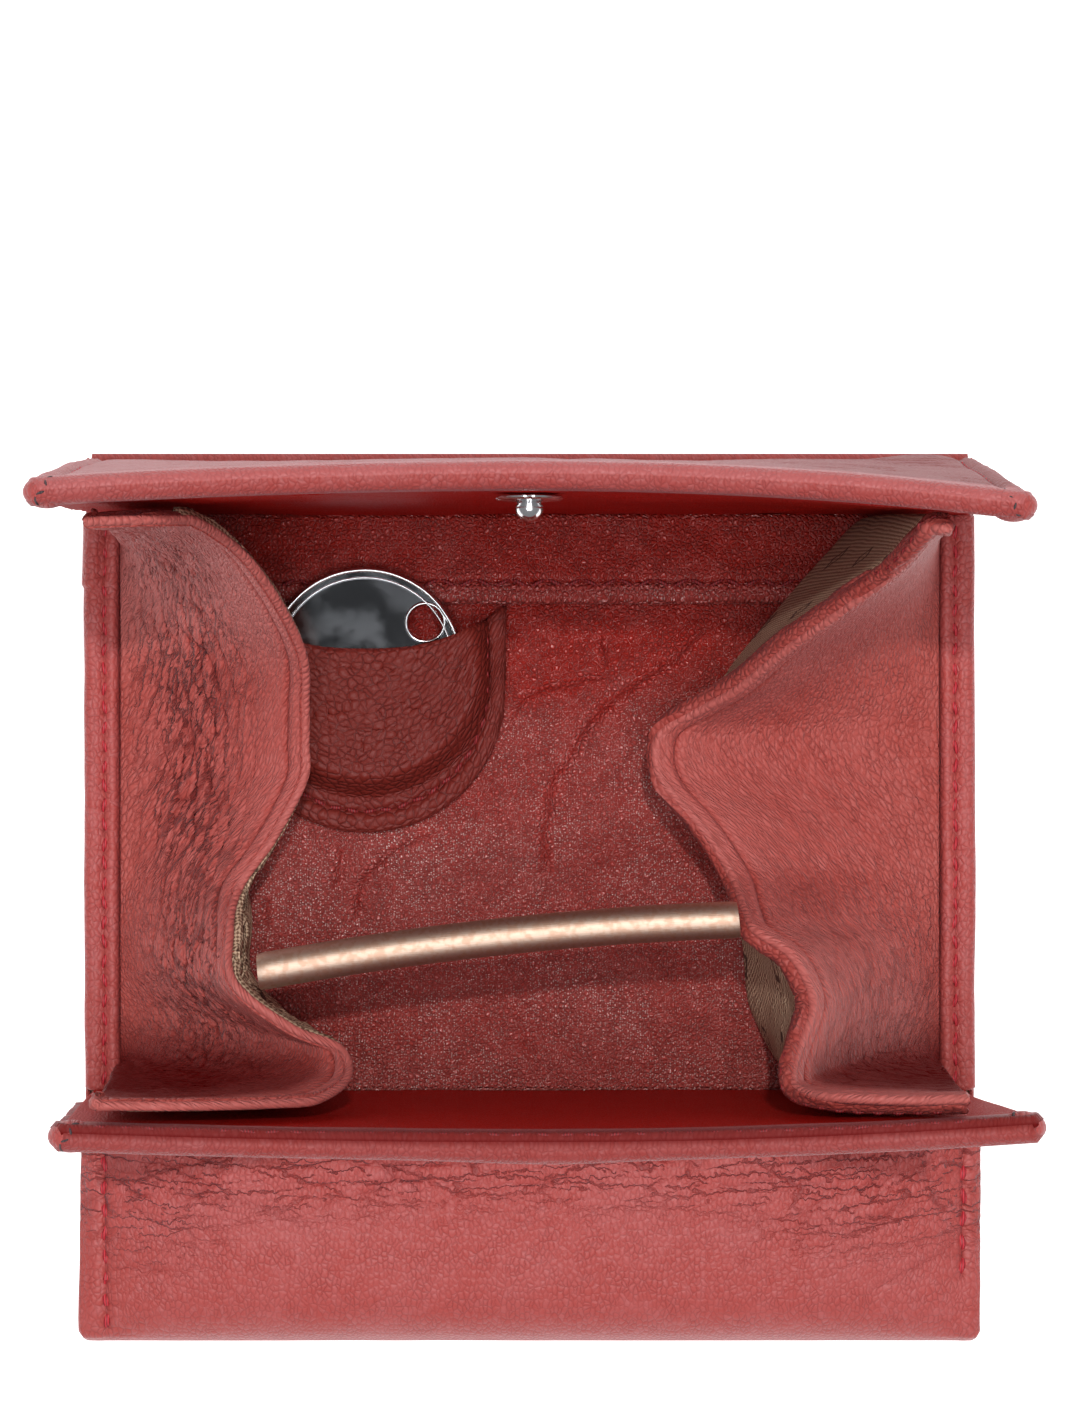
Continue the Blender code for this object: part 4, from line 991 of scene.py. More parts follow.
def make_ears():
    """Rounded ends of the two rolled lips, each with a row of dark thread over it."""
    for panel in (FLAP, WALL):
        for name, side in SIDES:
            end = upright_grid(panel, *np.array([[side], [PANEL_DEPTH / 2], [panel.lip - EAR_DOWN]]))
            middle = end[0, 0] - np.array([side * EAR_IN, 0, 0])

            def place(u, v, along):
                return tuple(middle[k] + part * EAR_SIZE[k] for k, part in enumerate((along, u, v)))

            profile = [(cos(turn), sin(turn)) for turn in np.linspace(-0.49 * pi, 0.49 * pi, 17)]
            ear = lathe(f"{panel.body}_ear_{name}", profile, 32, place, OUTER)
            settle(ear, "outer_leather", panel.body)
            line = [place(0.95 * cos(t), 0.99 * sin(t), -0.1) for t in np.linspace(0.1 * pi, 0.9 * pi, 30)]
            line = np.array(line) + np.outer(np.linspace(-1.1, 1.1, 30), (side, 0, 0))
            thread = (line, unit(line - middle), THREAD_DARK, KNOT_PITCH, 0.85, 0.2, 0.35)
            settle(stitch_row(f"{panel.body}_knot_{name}", *thread), "outer_leather", panel.body)


def panel_path():
    """Middle line of the outer skin in Y and Z, from the top edge round to the front fold."""
    half = 0.7
    top = FLOOR_Z + WALL.hinge - half
    near = FRONT_Y - PANEL_DEPTH / 2
    far = BOTTOM_Y + half
    path = [(y, half) for y in np.linspace(TOP_EDGE_Y, far + 7, 26)]
    for degrees in np.linspace(0, 78, 14)[1:]:
        turn = radians(degrees)
        path.append((far + 6.2 * (1 - sin(turn)), half + (top / 2 - half) * (1 - cos(turn))))
    crest = ((1.0, 0.50), (0.95, 0.68), (0.86, 0.82), (0.70, 0.91), (0.45, 0.97), (0.20, 1.0), (0.03, 1.0))
    for along, share in spline(crest, np.linspace(0, 6, 92)):
        path.append((near + (far - near) * along, top * share))
    return np.array(path)


def pinched(z, share):
    """Height of the puffed panel, pressed flat towards its side seams."""
    return PANEL_SEAM_Z + (z - PANEL_SEAM_Z) * (PINCH + (1 - PINCH) * (1 - np.abs(share) ** 6))


def panel_creases(x, y):
    """Creases of the front panel, 1 on a crease, and how worn the leather is round them, which also sets
    where shade is painted into the crease lines.
    """
    near_lip = smooth(-61, -53, y + 0.0015 * x * x)
    long_lines = near_lip * cracks(x, y, (10.0, 2.1), 47, 0.11)
    turned_x = x * 0.92 + y * 0.39
    turned_y = y * 0.92 - x * 0.39
    fan_field = patch(x, y, (38, -56), (14, 7))
    fan = fan_field * cracks(turned_x, turned_y, (9.0, 1.5), 53, 0.13)
    left_field = patch(x, y, (-44, -57), (7, 8))
    left = left_field * cracks(turned_x, y, (4.0, 2.2), 57, 0.09) * 0.6
    wobble_x = x + 0.9 * clouds(x, y, 3.5, 41)
    wobble_y = y + 0.7 * clouds(x, y, 3.0, 43)
    drawn = np.zeros(np.shape(x))
    for line in FAN_LINES:
        drawn = np.maximum(drawn, 0.5 * crease(wobble_x, wobble_y, line, 0.4))
    worn = np.maximum.reduce([near_lip * 0.75, fan_field * 0.8, left_field * 0.8])
    return np.maximum.reduce([long_lines, fan, left, drawn]), worn


def panel_part(shares):
    """Points, painted shading, and the field of wear and painted crease shade, of the back, the bottom fold
    and the front panel.
    """
    path = panel_path()
    share = shares[None, :]
    y = path[:, :1] + 0 * share
    z = path[:, 1:] + 0 * share
    z = np.where(z < PANEL_SEAM_Z, z, pinched(z, share))
    x = BODY_X + share * PANEL_HALF + 0 * y
    wall_end = smooth(FRONT_Y - 6, FRONT_Y - 1, y)
    front = smooth(0, 3, z - 6) * (y < -40)
    creases, worn = panel_creases(x, y)
    creases = creases * front * (1 - 0.7 * wall_end)
    z = z + front * (0.3 * clouds(x, y, 11.0, 31) - 0.34 * creases) * (1 - 0.6 * wall_end)
    # Painted highlight on the bottom fold and painted shade in the creases
    tone = 0.15 * bump_at(y, BOTTOM_Y, 2.5) - 0.35 * creases
    for side, inset, (_, far) in PANEL_SEAMS:
        inward = (1 - side * share) * PANEL_HALF
        stitched = front * smooth(far - 0.5, far + 0.5, y)
        holes = pulse(y, PANEL_PITCH, 0.35) * bump_at(inward, inset, 0.4) * stitched
        z = z - stitched * 0.6 * bump_at(inward, inset, 0.5) - 0.35 * holes
        z = z + front * 0.3 * bump_at(inward, inset * 0.45, 0.8)
        uneven = y + 0.3 * clouds(x, y, 3.0, 61)
        pull = bump_at(inward, inset + 1.5, 1.3) * pulse(uneven, PANEL_PITCH, 0.45)
        z = z - 0.12 * pull * stitched
        # Painted shade in the stitch holes, in the seam's groove and along its puckers
        tone = tone - 0.8 * holes - 0.25 * stitched * bump_at(inward, inset, 0.35) - 0.12 * pull * stitched
        x = x + side * front * (0.3 * clouds(y, 0 * y + 7 * side, 9.0, 63)) * np.clip(1 - inward / 3, 0, 1)
    corner = np.clip(y - (BOTTOM_Y + 1.6), -1.6, 0)
    x = x - np.sign(share) * np.clip(1 - edge_distance(shares) / 4, 0, 1) * corner ** 2 * 0.55
    return stacked(x, y, z), tone, worn * front


def wall_part(shares):
    """Points, painted shading, and the field of wear and painted crease shade, of the skin of the front wall,
    with its lip and hem.
    """
    heights = np.linspace(WALL.hinge + 1.5, WALL.lip - PANEL_DEPTH / 2 - 0.2, 62)
    line = np.full(len(heights), PANEL_DEPTH - SKIN_T / 2)
    outward, height = lip_path(WALL.lip, (line, heights), 0.28)
    h = height[:, None]
    across = shares[None, :] * BODY_HALF
    outer, body, roll = lip_masks(WALL, outward, height)
    out = closed_edge(outward[:, None], body, edge_distance(shares), 2.0, 1.3)
    folds = cracks(across, h, (12.0, 2.2), 83, 0.12)
    out = out + body * (0.25 * clouds(across, h, 15.0, 81) - 0.2 * folds)
    inner_part = outward[:, None] < 1.2
    out = out + inner_part * 0.06 * clouds(across, h, 9.0, 87, 2)
    out = out + roll * outer * 0.4 * bump_at(across, 0, 10.0)
    wall = upright_grid(WALL, shares, out, height)
    wall[..., 2] += 0.2 * clouds(across, out, 16.0, 89, 2) * roll
    sunk = bump_at(outward, 1.15, 0.3) * (outward < 1.6) * (height > WALL.lip - 2)
    # Painted shade on the lip's roll, in the folds, in the hem's sunk seam and on the inner side
    tone = -0.32 * roll - 0.35 * body * folds - 0.6 * sunk[:, None] - 0.35 * inner_part
    return wall, tone, 0.5 * body + 0 * folds


def make_front_skin():
    """One skin from the back round the bottom fold to the wall's hem, its seams, and the wall's lining."""
    shares = even_columns(261, 0.25)
    panel, panel_tone, panel_wear = panel_part(shares)
    wall, wall_tone, wall_wear = wall_part(shares)
    between = np.linspace(0, 1, 7)[1:-1][:, None, None]
    bridge = panel[-1][None] * (1 - between) + wall[0][None] * between
    bridge[..., 1] -= 0.3 * np.sin(pi * between[..., 0])
    plain = np.zeros(bridge.shape[:2])
    grid = np.concatenate([panel, bridge, wall])
    tone = np.concatenate([panel_tone, plain, wall_tone])
    wear = np.concatenate([panel_wear, plain, wall_wear])
    u, v = arc_lengths(grid)
    first = len(panel) + len(bridge)
    v = v + 0.8 * np.maximum(v - v[first:first + 1], 0)
    grid, hole = socket_hole(grid)
    skin = sheet(
        "front_skin", grid, FRONT_SKIN_T, OUTER, "outer_leather", None, ["outer_leather", "wall_leather"],
        "folded", ["base_board", "wall_stiffener"], tone=tone, wear=wear, uv=(u, v), hole=hole,
    )
    bend(skin, WALL, (FRONT_Y - 4.5, -0.5), (FRONT_Y - 3.7, 4.2))

    normals = grid_normals(panel)
    surface = panel + normals * (FRONT_SKIN_T / 2)
    for (side, inset, (near, far)), (name, _) in zip(PANEL_SEAMS, SIDES):
        share = side * (1 - inset / PANEL_HALF)
        line, facing = (column_line(part, shares, share) for part in (surface, normals))
        rows = (line[:, 1] < near) & (line[:, 1] > far) & (line[:, 2] > 6)
        seam = (line[rows], facing[rows], THREAD, PANEL_PITCH, 0.82, 0.42)
        settle(stitch_row(f"panel_seam_{name}", *seam, sway=0.26, lift=0.18), "outer_leather", "root")
    radius = (PANEL_DEPTH - SKIN_T) / 2 + 0.6
    outward = np.array([PANEL_DEPTH / 2 + radius * cos(HEM_TURN)])
    height = np.array([WALL.lip - PANEL_DEPTH / 2 + radius * sin(HEM_TURN)])
    seam_shares = np.linspace(-0.95, 0.95, 240)
    line = upright_grid(WALL, seam_shares, outward, height)[0]
    line[:, 2] += 0.12 * clouds(seam_shares * 50, 0 * seam_shares, 4.0, 93)
    facing = (0.0, -cos(HEM_TURN), sin(HEM_TURN))
    hem = stitch_row("wall_hem_stitches", line, facing, THREAD_DEEP, WALL_HEM_PITCH, 0.85, 0.22, sway=0.1)
    settle(hem, "outer_leather", "front_wall")

    heights = np.linspace(-0.1, WALL.lip - HEM_DEPTH - 0.2, 60)
    out = 0.4 + 0.15 * clouds(shares[None, :] * BODY_HALF, heights[:, None], 12.0, 91)
    grid = upright_grid(WALL, shares, out, heights, 1.0)
    nodes = ["wall_lining", "front_hinge_lining"]
    rests_on = ["wall_stiffener"]
    lining = sheet("wall_inner", grid, 0.6, INNER_PAINTED_SHADE, "inner_leather", None, nodes, "laid", rests_on)
    bend(lining, WALL, (FRONT_Y, -3), (FRONT_Y, 3))


def socket_hole(grid):
    """Grid with the rim of the socket's hole moved onto its circle, and the quads inside the hole."""
    low, high = box_mm("snap_socket")
    middle = (low + high) / 2
    radius = (high[0] - low[0]) / 2 + 0.35
    away = grid[..., (0, 2)] - middle[[0, 2]]
    far = np.linalg.norm(away, axis=-1)
    near_wall = np.abs(grid[..., 1] - low[1]) < 2.2
    inside = near_wall & (far < radius)
    gone = inside[1:, 1:] & inside[:-1, 1:] & inside[1:, :-1] & inside[:-1, :-1]
    beside = np.zeros(inside.shape, bool)
    whole = np.zeros(inside.shape, bool)
    for rows in (slice(1, None), slice(None, -1)):
        for columns in (slice(1, None), slice(None, -1)):
            beside[rows, columns] |= gone
            whole[rows, columns] |= ~gone
    rim = beside & whole
    grid = grid.copy()
    grid[rim, 0] = middle[0] + away[rim][:, 0] / far[rim] * radius
    grid[rim, 2] = middle[2] + away[rim][:, 1] / far[rim] * radius
    return grid, gone


def strip_lift(y):
    """How much higher a gusset's foot stands where it rests on the strip."""
    return 1.3 * smooth(8.6, 13.3, y)


def left_relief(x, y, u, v):
    """Creases and relief of the crumpled left gusset. u runs up the leather and v along its ridge."""
    field = 0.0
    for centre, size, weight in LEFT_CRUMPLES:
        field = field + weight * patch(x, y, centre, size)
    field = np.minimum(field, 1.0)
    long_lines = cracks(u, v, (2.2, 9.0), 103, 0.12)
    small = cracks(u + 0.3 * v, v, (1.6, 3.2), 107, 0.12) * 0.6
    creases = field * np.maximum(long_lines, small)
    soft = 0.45 * clouds(u, v, 9.0, 101) + 0.45 * field * clouds(u * 2.2, v * 0.7, 5.0, 109)
    return soft - 0.5 * creases, creases, field


def right_relief(x, y, u, v):
    """Creases and relief of the smoother right gusset."""
    field = 0.35 + 0.6 * smooth(-14, -30, y)
    creases = field * cracks(u, v, (3.2, 8.0), 203, 0.07) * 0.6
    soft = 0.25 * clouds(u, v, 14.0, 201)
    return soft - 0.16 * creases, creases, 0.5 * field


def lining_side(normals, side):
    """Normals of a gusset turned towards its lining."""
    facing = normals[len(normals) // 2, normals.shape[1] // 2] @ np.array([-side, 0, -1])
    return normals if facing > 0 else -normals


def settle_gusset(piece, joint, plane, keep, slope=(0, 0), middle=(0, 0)):
    """Attach a half of a gusset to the root, with a mesh of its own. joint, plane, keep, slope and middle are
    not used.
    """
    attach(piece, "root")
    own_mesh(piece)


def make_gusset(side_name, side, table, relief):
    """One gusset: leather with its rolled free edge and hem, fabric lining, and the hem's stitches."""
    steps = 230
    last = len(table) - 1
    split = int(round(steps * SPLIT_ROW / last))
    front_places = np.linspace(SPLIT_ROW, last, steps - split + 1)[1:]
    places = np.concatenate([np.linspace(0, SPLIT_ROW, split + 1), front_places])
    reach, depth, lift, base_depth, foot_reach, foot_depth = spline(table, places).T
    edge_x, foot_x = (BODY_X + side * EDGE_HALF * (1 - share) for share in (reach, foot_reach))
    edge_y, base_y, foot_y = (BACK_Y - DEPTH * share for share in (depth, base_depth, foot_depth))
    edge = stacked(edge_x, edge_y, FLOOR_Z + FLAP.lip * lift)
    base = stacked(BODY_X + side * BASE_X, base_y, FLOOR_Z + 0.9)
    foot = stacked(foot_x, foot_y, FLOOR_Z + 0.45 + strip_lift(foot_y))
    up = (1 - (1 - np.linspace(0, 1, 130)) ** 1.4)[None, :, None]
    leather_grid = base[:, None, :] * (1 - up) + edge[:, None, :] * up
    leather_grid[..., 2] = base[:, None, 2] + (edge[:, None, 2] - base[:, None, 2]) * up[..., 0] ** 1.08
    leather_grid = hold_clear(leather_grid, LEATHER_CLEAR)
    normals = lining_side(grid_normals(leather_grid), side)
    rise = row_travel(leather_grid)
    along = row_travel(edge[None])[0][:, None] + 0 * rise
    share = up[..., 0] + 0 * along
    shape, creases, worn = relief(leather_grid[..., 0], leather_grid[..., 1], rise, along)
    fade = (1 - share ** 10) * smooth(0.0, 1.5, rise)
    from_edge = rise[:, -1:] - rise
    seam = bump_at(from_edge, 2.1, 0.5) * smooth(4, 8, rise[:, -1:])
    shape = shape * fade - 0.38 * seam + 0.22 * bump_at(from_edge, 1.0, 0.7)
    leather_grid = leather_grid - normals * shape[..., None]
    normals = lining_side(grid_normals(leather_grid), side)

    # Fabric lining, from under the free edge down to its foot on the floor
    down = np.linspace(0, 1, 46)
    tip = leather_grid[:, -1]
    smooth_edge = tip + normals[:, -1] * HEM_RADIUS
    bulge = 1.5 - 0.9 * smooth(0.59, 0.66, np.linspace(0, 1, len(tip))) * (side < 0)
    pull = leather_grid + normals * bulge[:, None, None]
    columns = (1 - down) * (leather_grid.shape[1] - 1)
    low = np.floor(columns).astype(int)
    high = np.minimum(low + 1, leather_grid.shape[1] - 1)
    part = (columns - low)[None, :, None]
    lining = pull[:, low] * (1 - part) + pull[:, high] * part
    lining = lining + (foot - pull[:, 0])[:, None, :] * (down ** 1.5)[None, :, None]
    near_top = (1 - smooth(0.0, 0.22, down))[None, :, None]
    lining = lining + (smooth_edge - lining[:, 0])[:, None, :] * near_top
    lining = hold_clear(lining, LINING_CLEAR)
    fabric_normals = lining_side(grid_normals(lining), side)

    # Roll over the free edge, and the hem band on the lining's side
    ahead = unit(leather_grid[:, -1] - leather_grid[:, -4])
    sideways = normals[:, -1]
    turns = np.linspace(0, pi, 9)[1:-1]
    roll = [tip + ahead * HEM_RADIUS * 1.5 * sin(t) + sideways * HEM_RADIUS * (1 - cos(t)) for t in turns]
    roll = np.stack(roll, axis=1)
    travel = row_travel(lining)
    band = np.zeros((len(lining), 12, 3))
    for index in range(len(lining)):
        wanted = min(HEM_BAND, travel[index, -1] * 0.8) * np.linspace(0.03, 1.0, 12)
        for k in range(3):
            band[index, :, k] = np.interp(wanted, travel[index], lining[index, :, k])
            band[index, :, k] += 0.45 * np.interp(wanted, travel[index], fabric_normals[index, :, k])
    whole = hold_clear(np.concatenate([leather_grid, roll, band], axis=1), HEM_CLEAR)
    count = leather_grid.shape[1]
    tone = np.zeros(whole.shape[:2])
    # Painted light and shade: lighter towards the free edge and over the top of the left gusset, darker in
    # the creases, at the seam and in the crevice by the front wall
    near_wall = smooth(FRONT_Y + 10, FRONT_Y + 2.5, leather_grid[..., 1]) * (1 - smooth(0.85, 0.97, share))
    tone[:, :count] = 0.3 * smooth(0.6, 1.0, share) - 0.4 * creases * fade - 0.95 * near_wall - 0.55 * seam
    top = smooth(3, 12, leather_grid[..., 1]) * (side < 0)
    top = top * (1 - 0.8 * smooth(16, 21, leather_grid[..., 1]))
    tone[:, :count] += 0.7 * top * (1 - creases * fade)
    wear = np.zeros(whole.shape[:2])
    wear[:, :count] = worn * fade
    # Painted highlight on the rolled edge and painted shade on the hem band
    tone[:, count - 4:count + len(turns)] = 0.5
    tone[:, count + len(turns):] = -0.15
    halves = (
        ("back", slice(0, split + 1), slice(30 if side < 0 else 6, split + 1), "flap_fold", "last"),
        ("front", slice(split, None), slice(split, steps - 13), "wall_fold", "first"),
    )
    plain = np.zeros(lining.shape[:2])
    layers = (
        ("", whole, grid_normals(whole), tone, wear, GUSSET_T, GUSSET, "leather", "outer_leather"),
        ("_fabric", lining, fabric_normals, plain, plain, FABRIC_T, FABRIC, "lining", "lining_fabric"),
    )
    for half_name, leather_rows, fabric_rows, joint, flat_end in halves:
        held = GUSSET_FOLDS[side_name, half_name]
        for layer, rows in zip(layers, (leather_rows, fabric_rows)):
            suffix, grid, normals, tones, wears, thickness, material, node, slot = layer
            piece = sheet(
                f"gusset_{side_name}_{half_name}{suffix}", grid[rows], thickness, material, slot, None,
                [f"gusset_{side_name}_{node}"], "folded", ["floor_skin"], tone=tones[rows], wear=wears[rows],
                normals=normals[rows], uv=[part[rows] for part in arc_lengths(grid)], flat=(flat_end,),
            )
            settle_gusset(piece, joint, *held)
        facing = fabric_normals[leather_rows, 4]
        line = band[leather_rows, 5] + facing * (GUSSET_T / 2)
        thread = (line, facing, THREAD_DEEP, GUSSET_HEM_PITCH, 0.75, 0.2)
        settle_gusset(stitch_row(f"hem_{side_name}_{half_name}_stitches", *thread), joint, *held)


def make_floor():
    """Floor lining with its creases, and the strip at its back with a stitched edge."""
    xs = np.linspace(BODY_X - FLOOR_HALF, BODY_X + FLOOR_HALF, 240)
    ys = np.linspace(FRONT_Y + 0.05, BACK_Y - 0.4, 170)
    x, y = np.meshgrid(xs, ys)
    wobble_x = x + 1.2 * clouds(x, y, 6.0, 301)
    wobble_y = y + 1.0 * clouds(x, y, 5.0, 303)
    relief = 0.42 * clouds(x, y, 15.0, 305) + 0.2 * clouds(x * 1.6, y * 0.8, 7.0, 306)
    drawn = np.zeros(x.shape)
    for line in FLOOR_CREASES:
        drawn = np.maximum(drawn, crease(wobble_x, wobble_y, line, 0.5))
        relief = relief + 0.25 * crease(wobble_x + 1.1, wobble_y - 0.8, line, 1.3)
    fold = crease(wobble_x, wobble_y, FLOOR_FOLD, 0.7)
    relief = relief - 0.45 * fold + 0.6 * crease(x - 2.6, y + 1.6, FLOOR_FOLD, 2.4) - 0.35 * drawn
    fine = cracks(x, y, (3.5, 6.0), 307, 0.08) * 0.4
    relief = relief - 0.1 * fine
    from_pocket = np.hypot(x - TOKEN_X, y - POCKET_Y)
    open_floor = smooth(POCKET_R - 0.5, POCKET_R + 3, from_pocket) * smooth(13.4, 11.0, y)
    z = FLOOR_Z - 0.5 + np.clip(relief, -0.8, 0.2) * open_floor
    # Painted shade in the creases and the fold, and painted light over the front of the floor, leaving the
    # part under the flap darker
    tone = -0.28 * open_floor * np.maximum(drawn, 0.9 * fold) - 0.2 * open_floor * fine
    tone = tone + 0.42 * smooth(8, -5, y) * (0.8 + 0.35 * clouds(x, y, 9.0, 309))
    looks = (0.8, INNER, "inner_leather", "root", ["floor_lining"], "laid", ["base_board"])
    sheet("floor_skin", stacked(x, y, z), *looks, tone=tone)

    ys = np.concatenate([[13.2, 13.25, 13.4, 13.6], np.linspace(13.9, 22.9, 44)])
    xs = np.linspace(BODY_X - STRIP_HALF, BODY_X + STRIP_HALF, 440)
    x, y = np.meshgrid(xs, ys)
    front = smooth(17.5, 13.6, y)
    z = FLOOR_Z + 0.75 + 0.35 * front + 0.15 * clouds(x, y, 8.0, 311)
    z[:3] -= np.array([0.75, 0.35, 0.1])[:, None]
    holes = pulse(x, STRIP_PITCH, 0.3) * bump_at(y, STRIP_SEAM_Y, 0.35)
    z = z - 0.25 * bump_at(y, STRIP_SEAM_Y, 0.5) - 0.3 * holes
    # Painted highlight on the strip's raised front edge and painted shade in the stitch holes and along the
    # seam
    tone = 0.25 * front - 0.8 * holes - 0.2 * bump_at(y, STRIP_SEAM_Y, 0.4)
    looks = (0.95, INNER, "inner_leather", "root", ["interior_strip"], "laid", ["floor_skin"])
    sheet("floor_strip", stacked(x, y, z), *looks, tone=tone)
    line = stacked(xs, STRIP_SEAM_Y, FLOOR_Z + 1.42)
    seam = stitch_row("strip_stitches", line, (0, 0, 1), THREAD_DEEP, STRIP_PITCH, 0.85, 0.24, sway=0.4)
    settle(seam, "inner_leather", "root")


def make_pocket():
    """U-shaped pocket, raised over the token, with its seam."""
    share = np.linspace(-1, 1, 150)[None, :]
    bottom = TOKEN_Y - POCKET_DOWN + POCKET_R * (1 - np.sqrt(np.maximum(1 - share ** 2, 0)))
    top = TOKEN_Y + POCKET_UP + POCKET_CORNERS * np.abs(share) ** 2.5
    y = bottom + (top - bottom) * np.linspace(0, 1, 120)[:, None]
    x = TOKEN_X + share * POCKET_R + 0 * y

    def bulge(x, y):
        away = np.hypot(x - TOKEN_X, y - TOKEN_Y)
        return POCKET_RISE * (1 - smooth(TOKEN_R + 0.9, POCKET_R - 0.9, away))

    radius = POCKET_R - POCKET_SEAM
    away = np.where(y < POCKET_Y, np.hypot(x - TOKEN_X, y - POCKET_Y), np.abs(x - TOKEN_X))
    inside = POCKET_R - away
    turn = np.arctan2(y - POCKET_Y, x - TOKEN_X) * radius
    travel = np.where(y < POCKET_Y, turn, np.where(x > TOKEN_X, y - POCKET_Y, -y))
    holes = pulse(travel, POCKET_PITCH, 0.3) * bump_at(inside, POCKET_SEAM, 0.35)
    z = FLOOR_Z + 0.8 + bulge(x, y) + 0.35 * bump_at(inside, 0.9, 0.7)
    z = z - 0.4 * bump_at(inside, POCKET_SEAM, 0.5) - 0.3 * holes
    grain = 0.16 * clouds(x, y, 6.0, 321) - 0.12 * cracks(x, y, (2.6, 2.6), 323, 0.1)
    z = z + grain * smooth(2, 5, inside)
    # Painted shade in the seam's groove and stitch holes, and a painted highlight on the raised edge
    tone = -0.3 * bump_at(inside, POCKET_SEAM, 0.5) - 0.6 * holes + 0.1 * bump_at(inside, 0.8, 0.7)
    looks = (1.0, POCKET, "pocket_leather", "root", ["token_pocket"], "laid", ["trolley_token", "floor_skin"])
    sheet("pocket_skin", stacked(x, y, z), *looks, tone=tone)
    line = [(TOKEN_X + radius * cos(t), POCKET_Y + radius * sin(t)) for t in np.linspace(-pi, 0, 90)]
    line += [(TOKEN_X + radius, y) for y in np.linspace(3.2, 9.4, 10)]
    points = [(x, y, FLOOR_Z + 1.08 + bulge(x, y)) for x, y in line]
    seam = stitch_row("pocket_stitches", points, (0, 0, 1), THREAD_DEEP, POCKET_PITCH, 0.78, 0.26, sway=0.1)
    settle(seam, "pocket_leather", "root")


def make_token():
    """Raised rims of the token and of its hole."""
    angle = radians(35.7)
    hole = (TOKEN_HOLE_AWAY * cos(angle), TOKEN_HOLE_AWAY * sin(angle))
    rims = (
        ("token_rim_outer", (0, 0), TOKEN_R - 0.35, -0.1, 0.3, 120),
        ("token_rim_inner", (0, 0), TOKEN_R - 1.25, -0.1, 0.16, 120),
        ("token_hole_rim", hole, 2.25, -0.15, 0.2, 60),
    )
    for name, (right, up), radius, height, wire, segments in rims:

        def place(u, v, height):
            return (TOKEN_X + right + u, TOKEN_Y + up + v, FLOOR_Z + TOKEN_TOP + height)

        ring = wire_ring(radius, height, wire)
        rim = lathe(name, ring, segments, place, CHROME, closed=True, angle=180)
        settle(rim, "token_metal", "token")


def make_stud():
    """Turned stud of the snap on the flap's inner face."""
    def place(u, v, out):
        return (BODY_X + u, BACK_Y - GAP - out, FLOOR_Z + FLAP.lip - STUD_DOWN + v)

    profile = [(3.4, 0.0), (3.6, 0.12), (3.6, 0.3), (3.4, 0.45), (2.6, 0.52), (1.6, 0.6), (1.25, 0.8)]
    profile += [(1.55 * cos(t), 1.15 + 1.55 * sin(t)) for t in np.linspace(0, radians(80), 9)]
    stud = lathe("stud_turned", profile, 56, place, CHROME, angle=50)
    settle(stud, "snap_metal", "flap", ["snap_stud"])


def make_rod():
    """Slightly bent tube between the gussets, with rounded ends."""
    height = FLOOR_Z + FLAP.lip * ROD_LIFT
    left, right = (np.array([BODY_X + EDGE_HALF * x, BACK_Y - DEPTH * y, height]) for x, y in ROD_ENDS)
    up = np.array([0.0, 0.0, 1.0])
    side = np.cross(up, unit(right - left))
    shares = np.linspace(0, 1, 70)
    centres = left + (right - left) * shares[:, None] + side * (1 - (2 * shares[:, None] - 1) ** 2)
    ends = sum(bump_at(end * ROD_LENGTH, 0, 0.35) for end in (shares, 1 - shares))
    radii = np.concatenate([ROD_R - 0.12 * ends, np.full(70, ROD_BORE)])
    segments = 48
    points = []
    uvs = []
    for number, (centre, radius) in enumerate(zip(np.concatenate([centres, centres[::-1]]), radii)):
        points += [centre + (side * c + up * s) * radius for c, s in circle(segments)]
        uvs += [(number * 0.8, step * 0.27) for step in range(segments)]
    rod = add_mesh("rod_tube", points, ring_faces(0, len(radii), segments, True), COPPER, uvs, angle=50)
    settle(rod, "rod_metal", "rod", ["spreader_rod"])


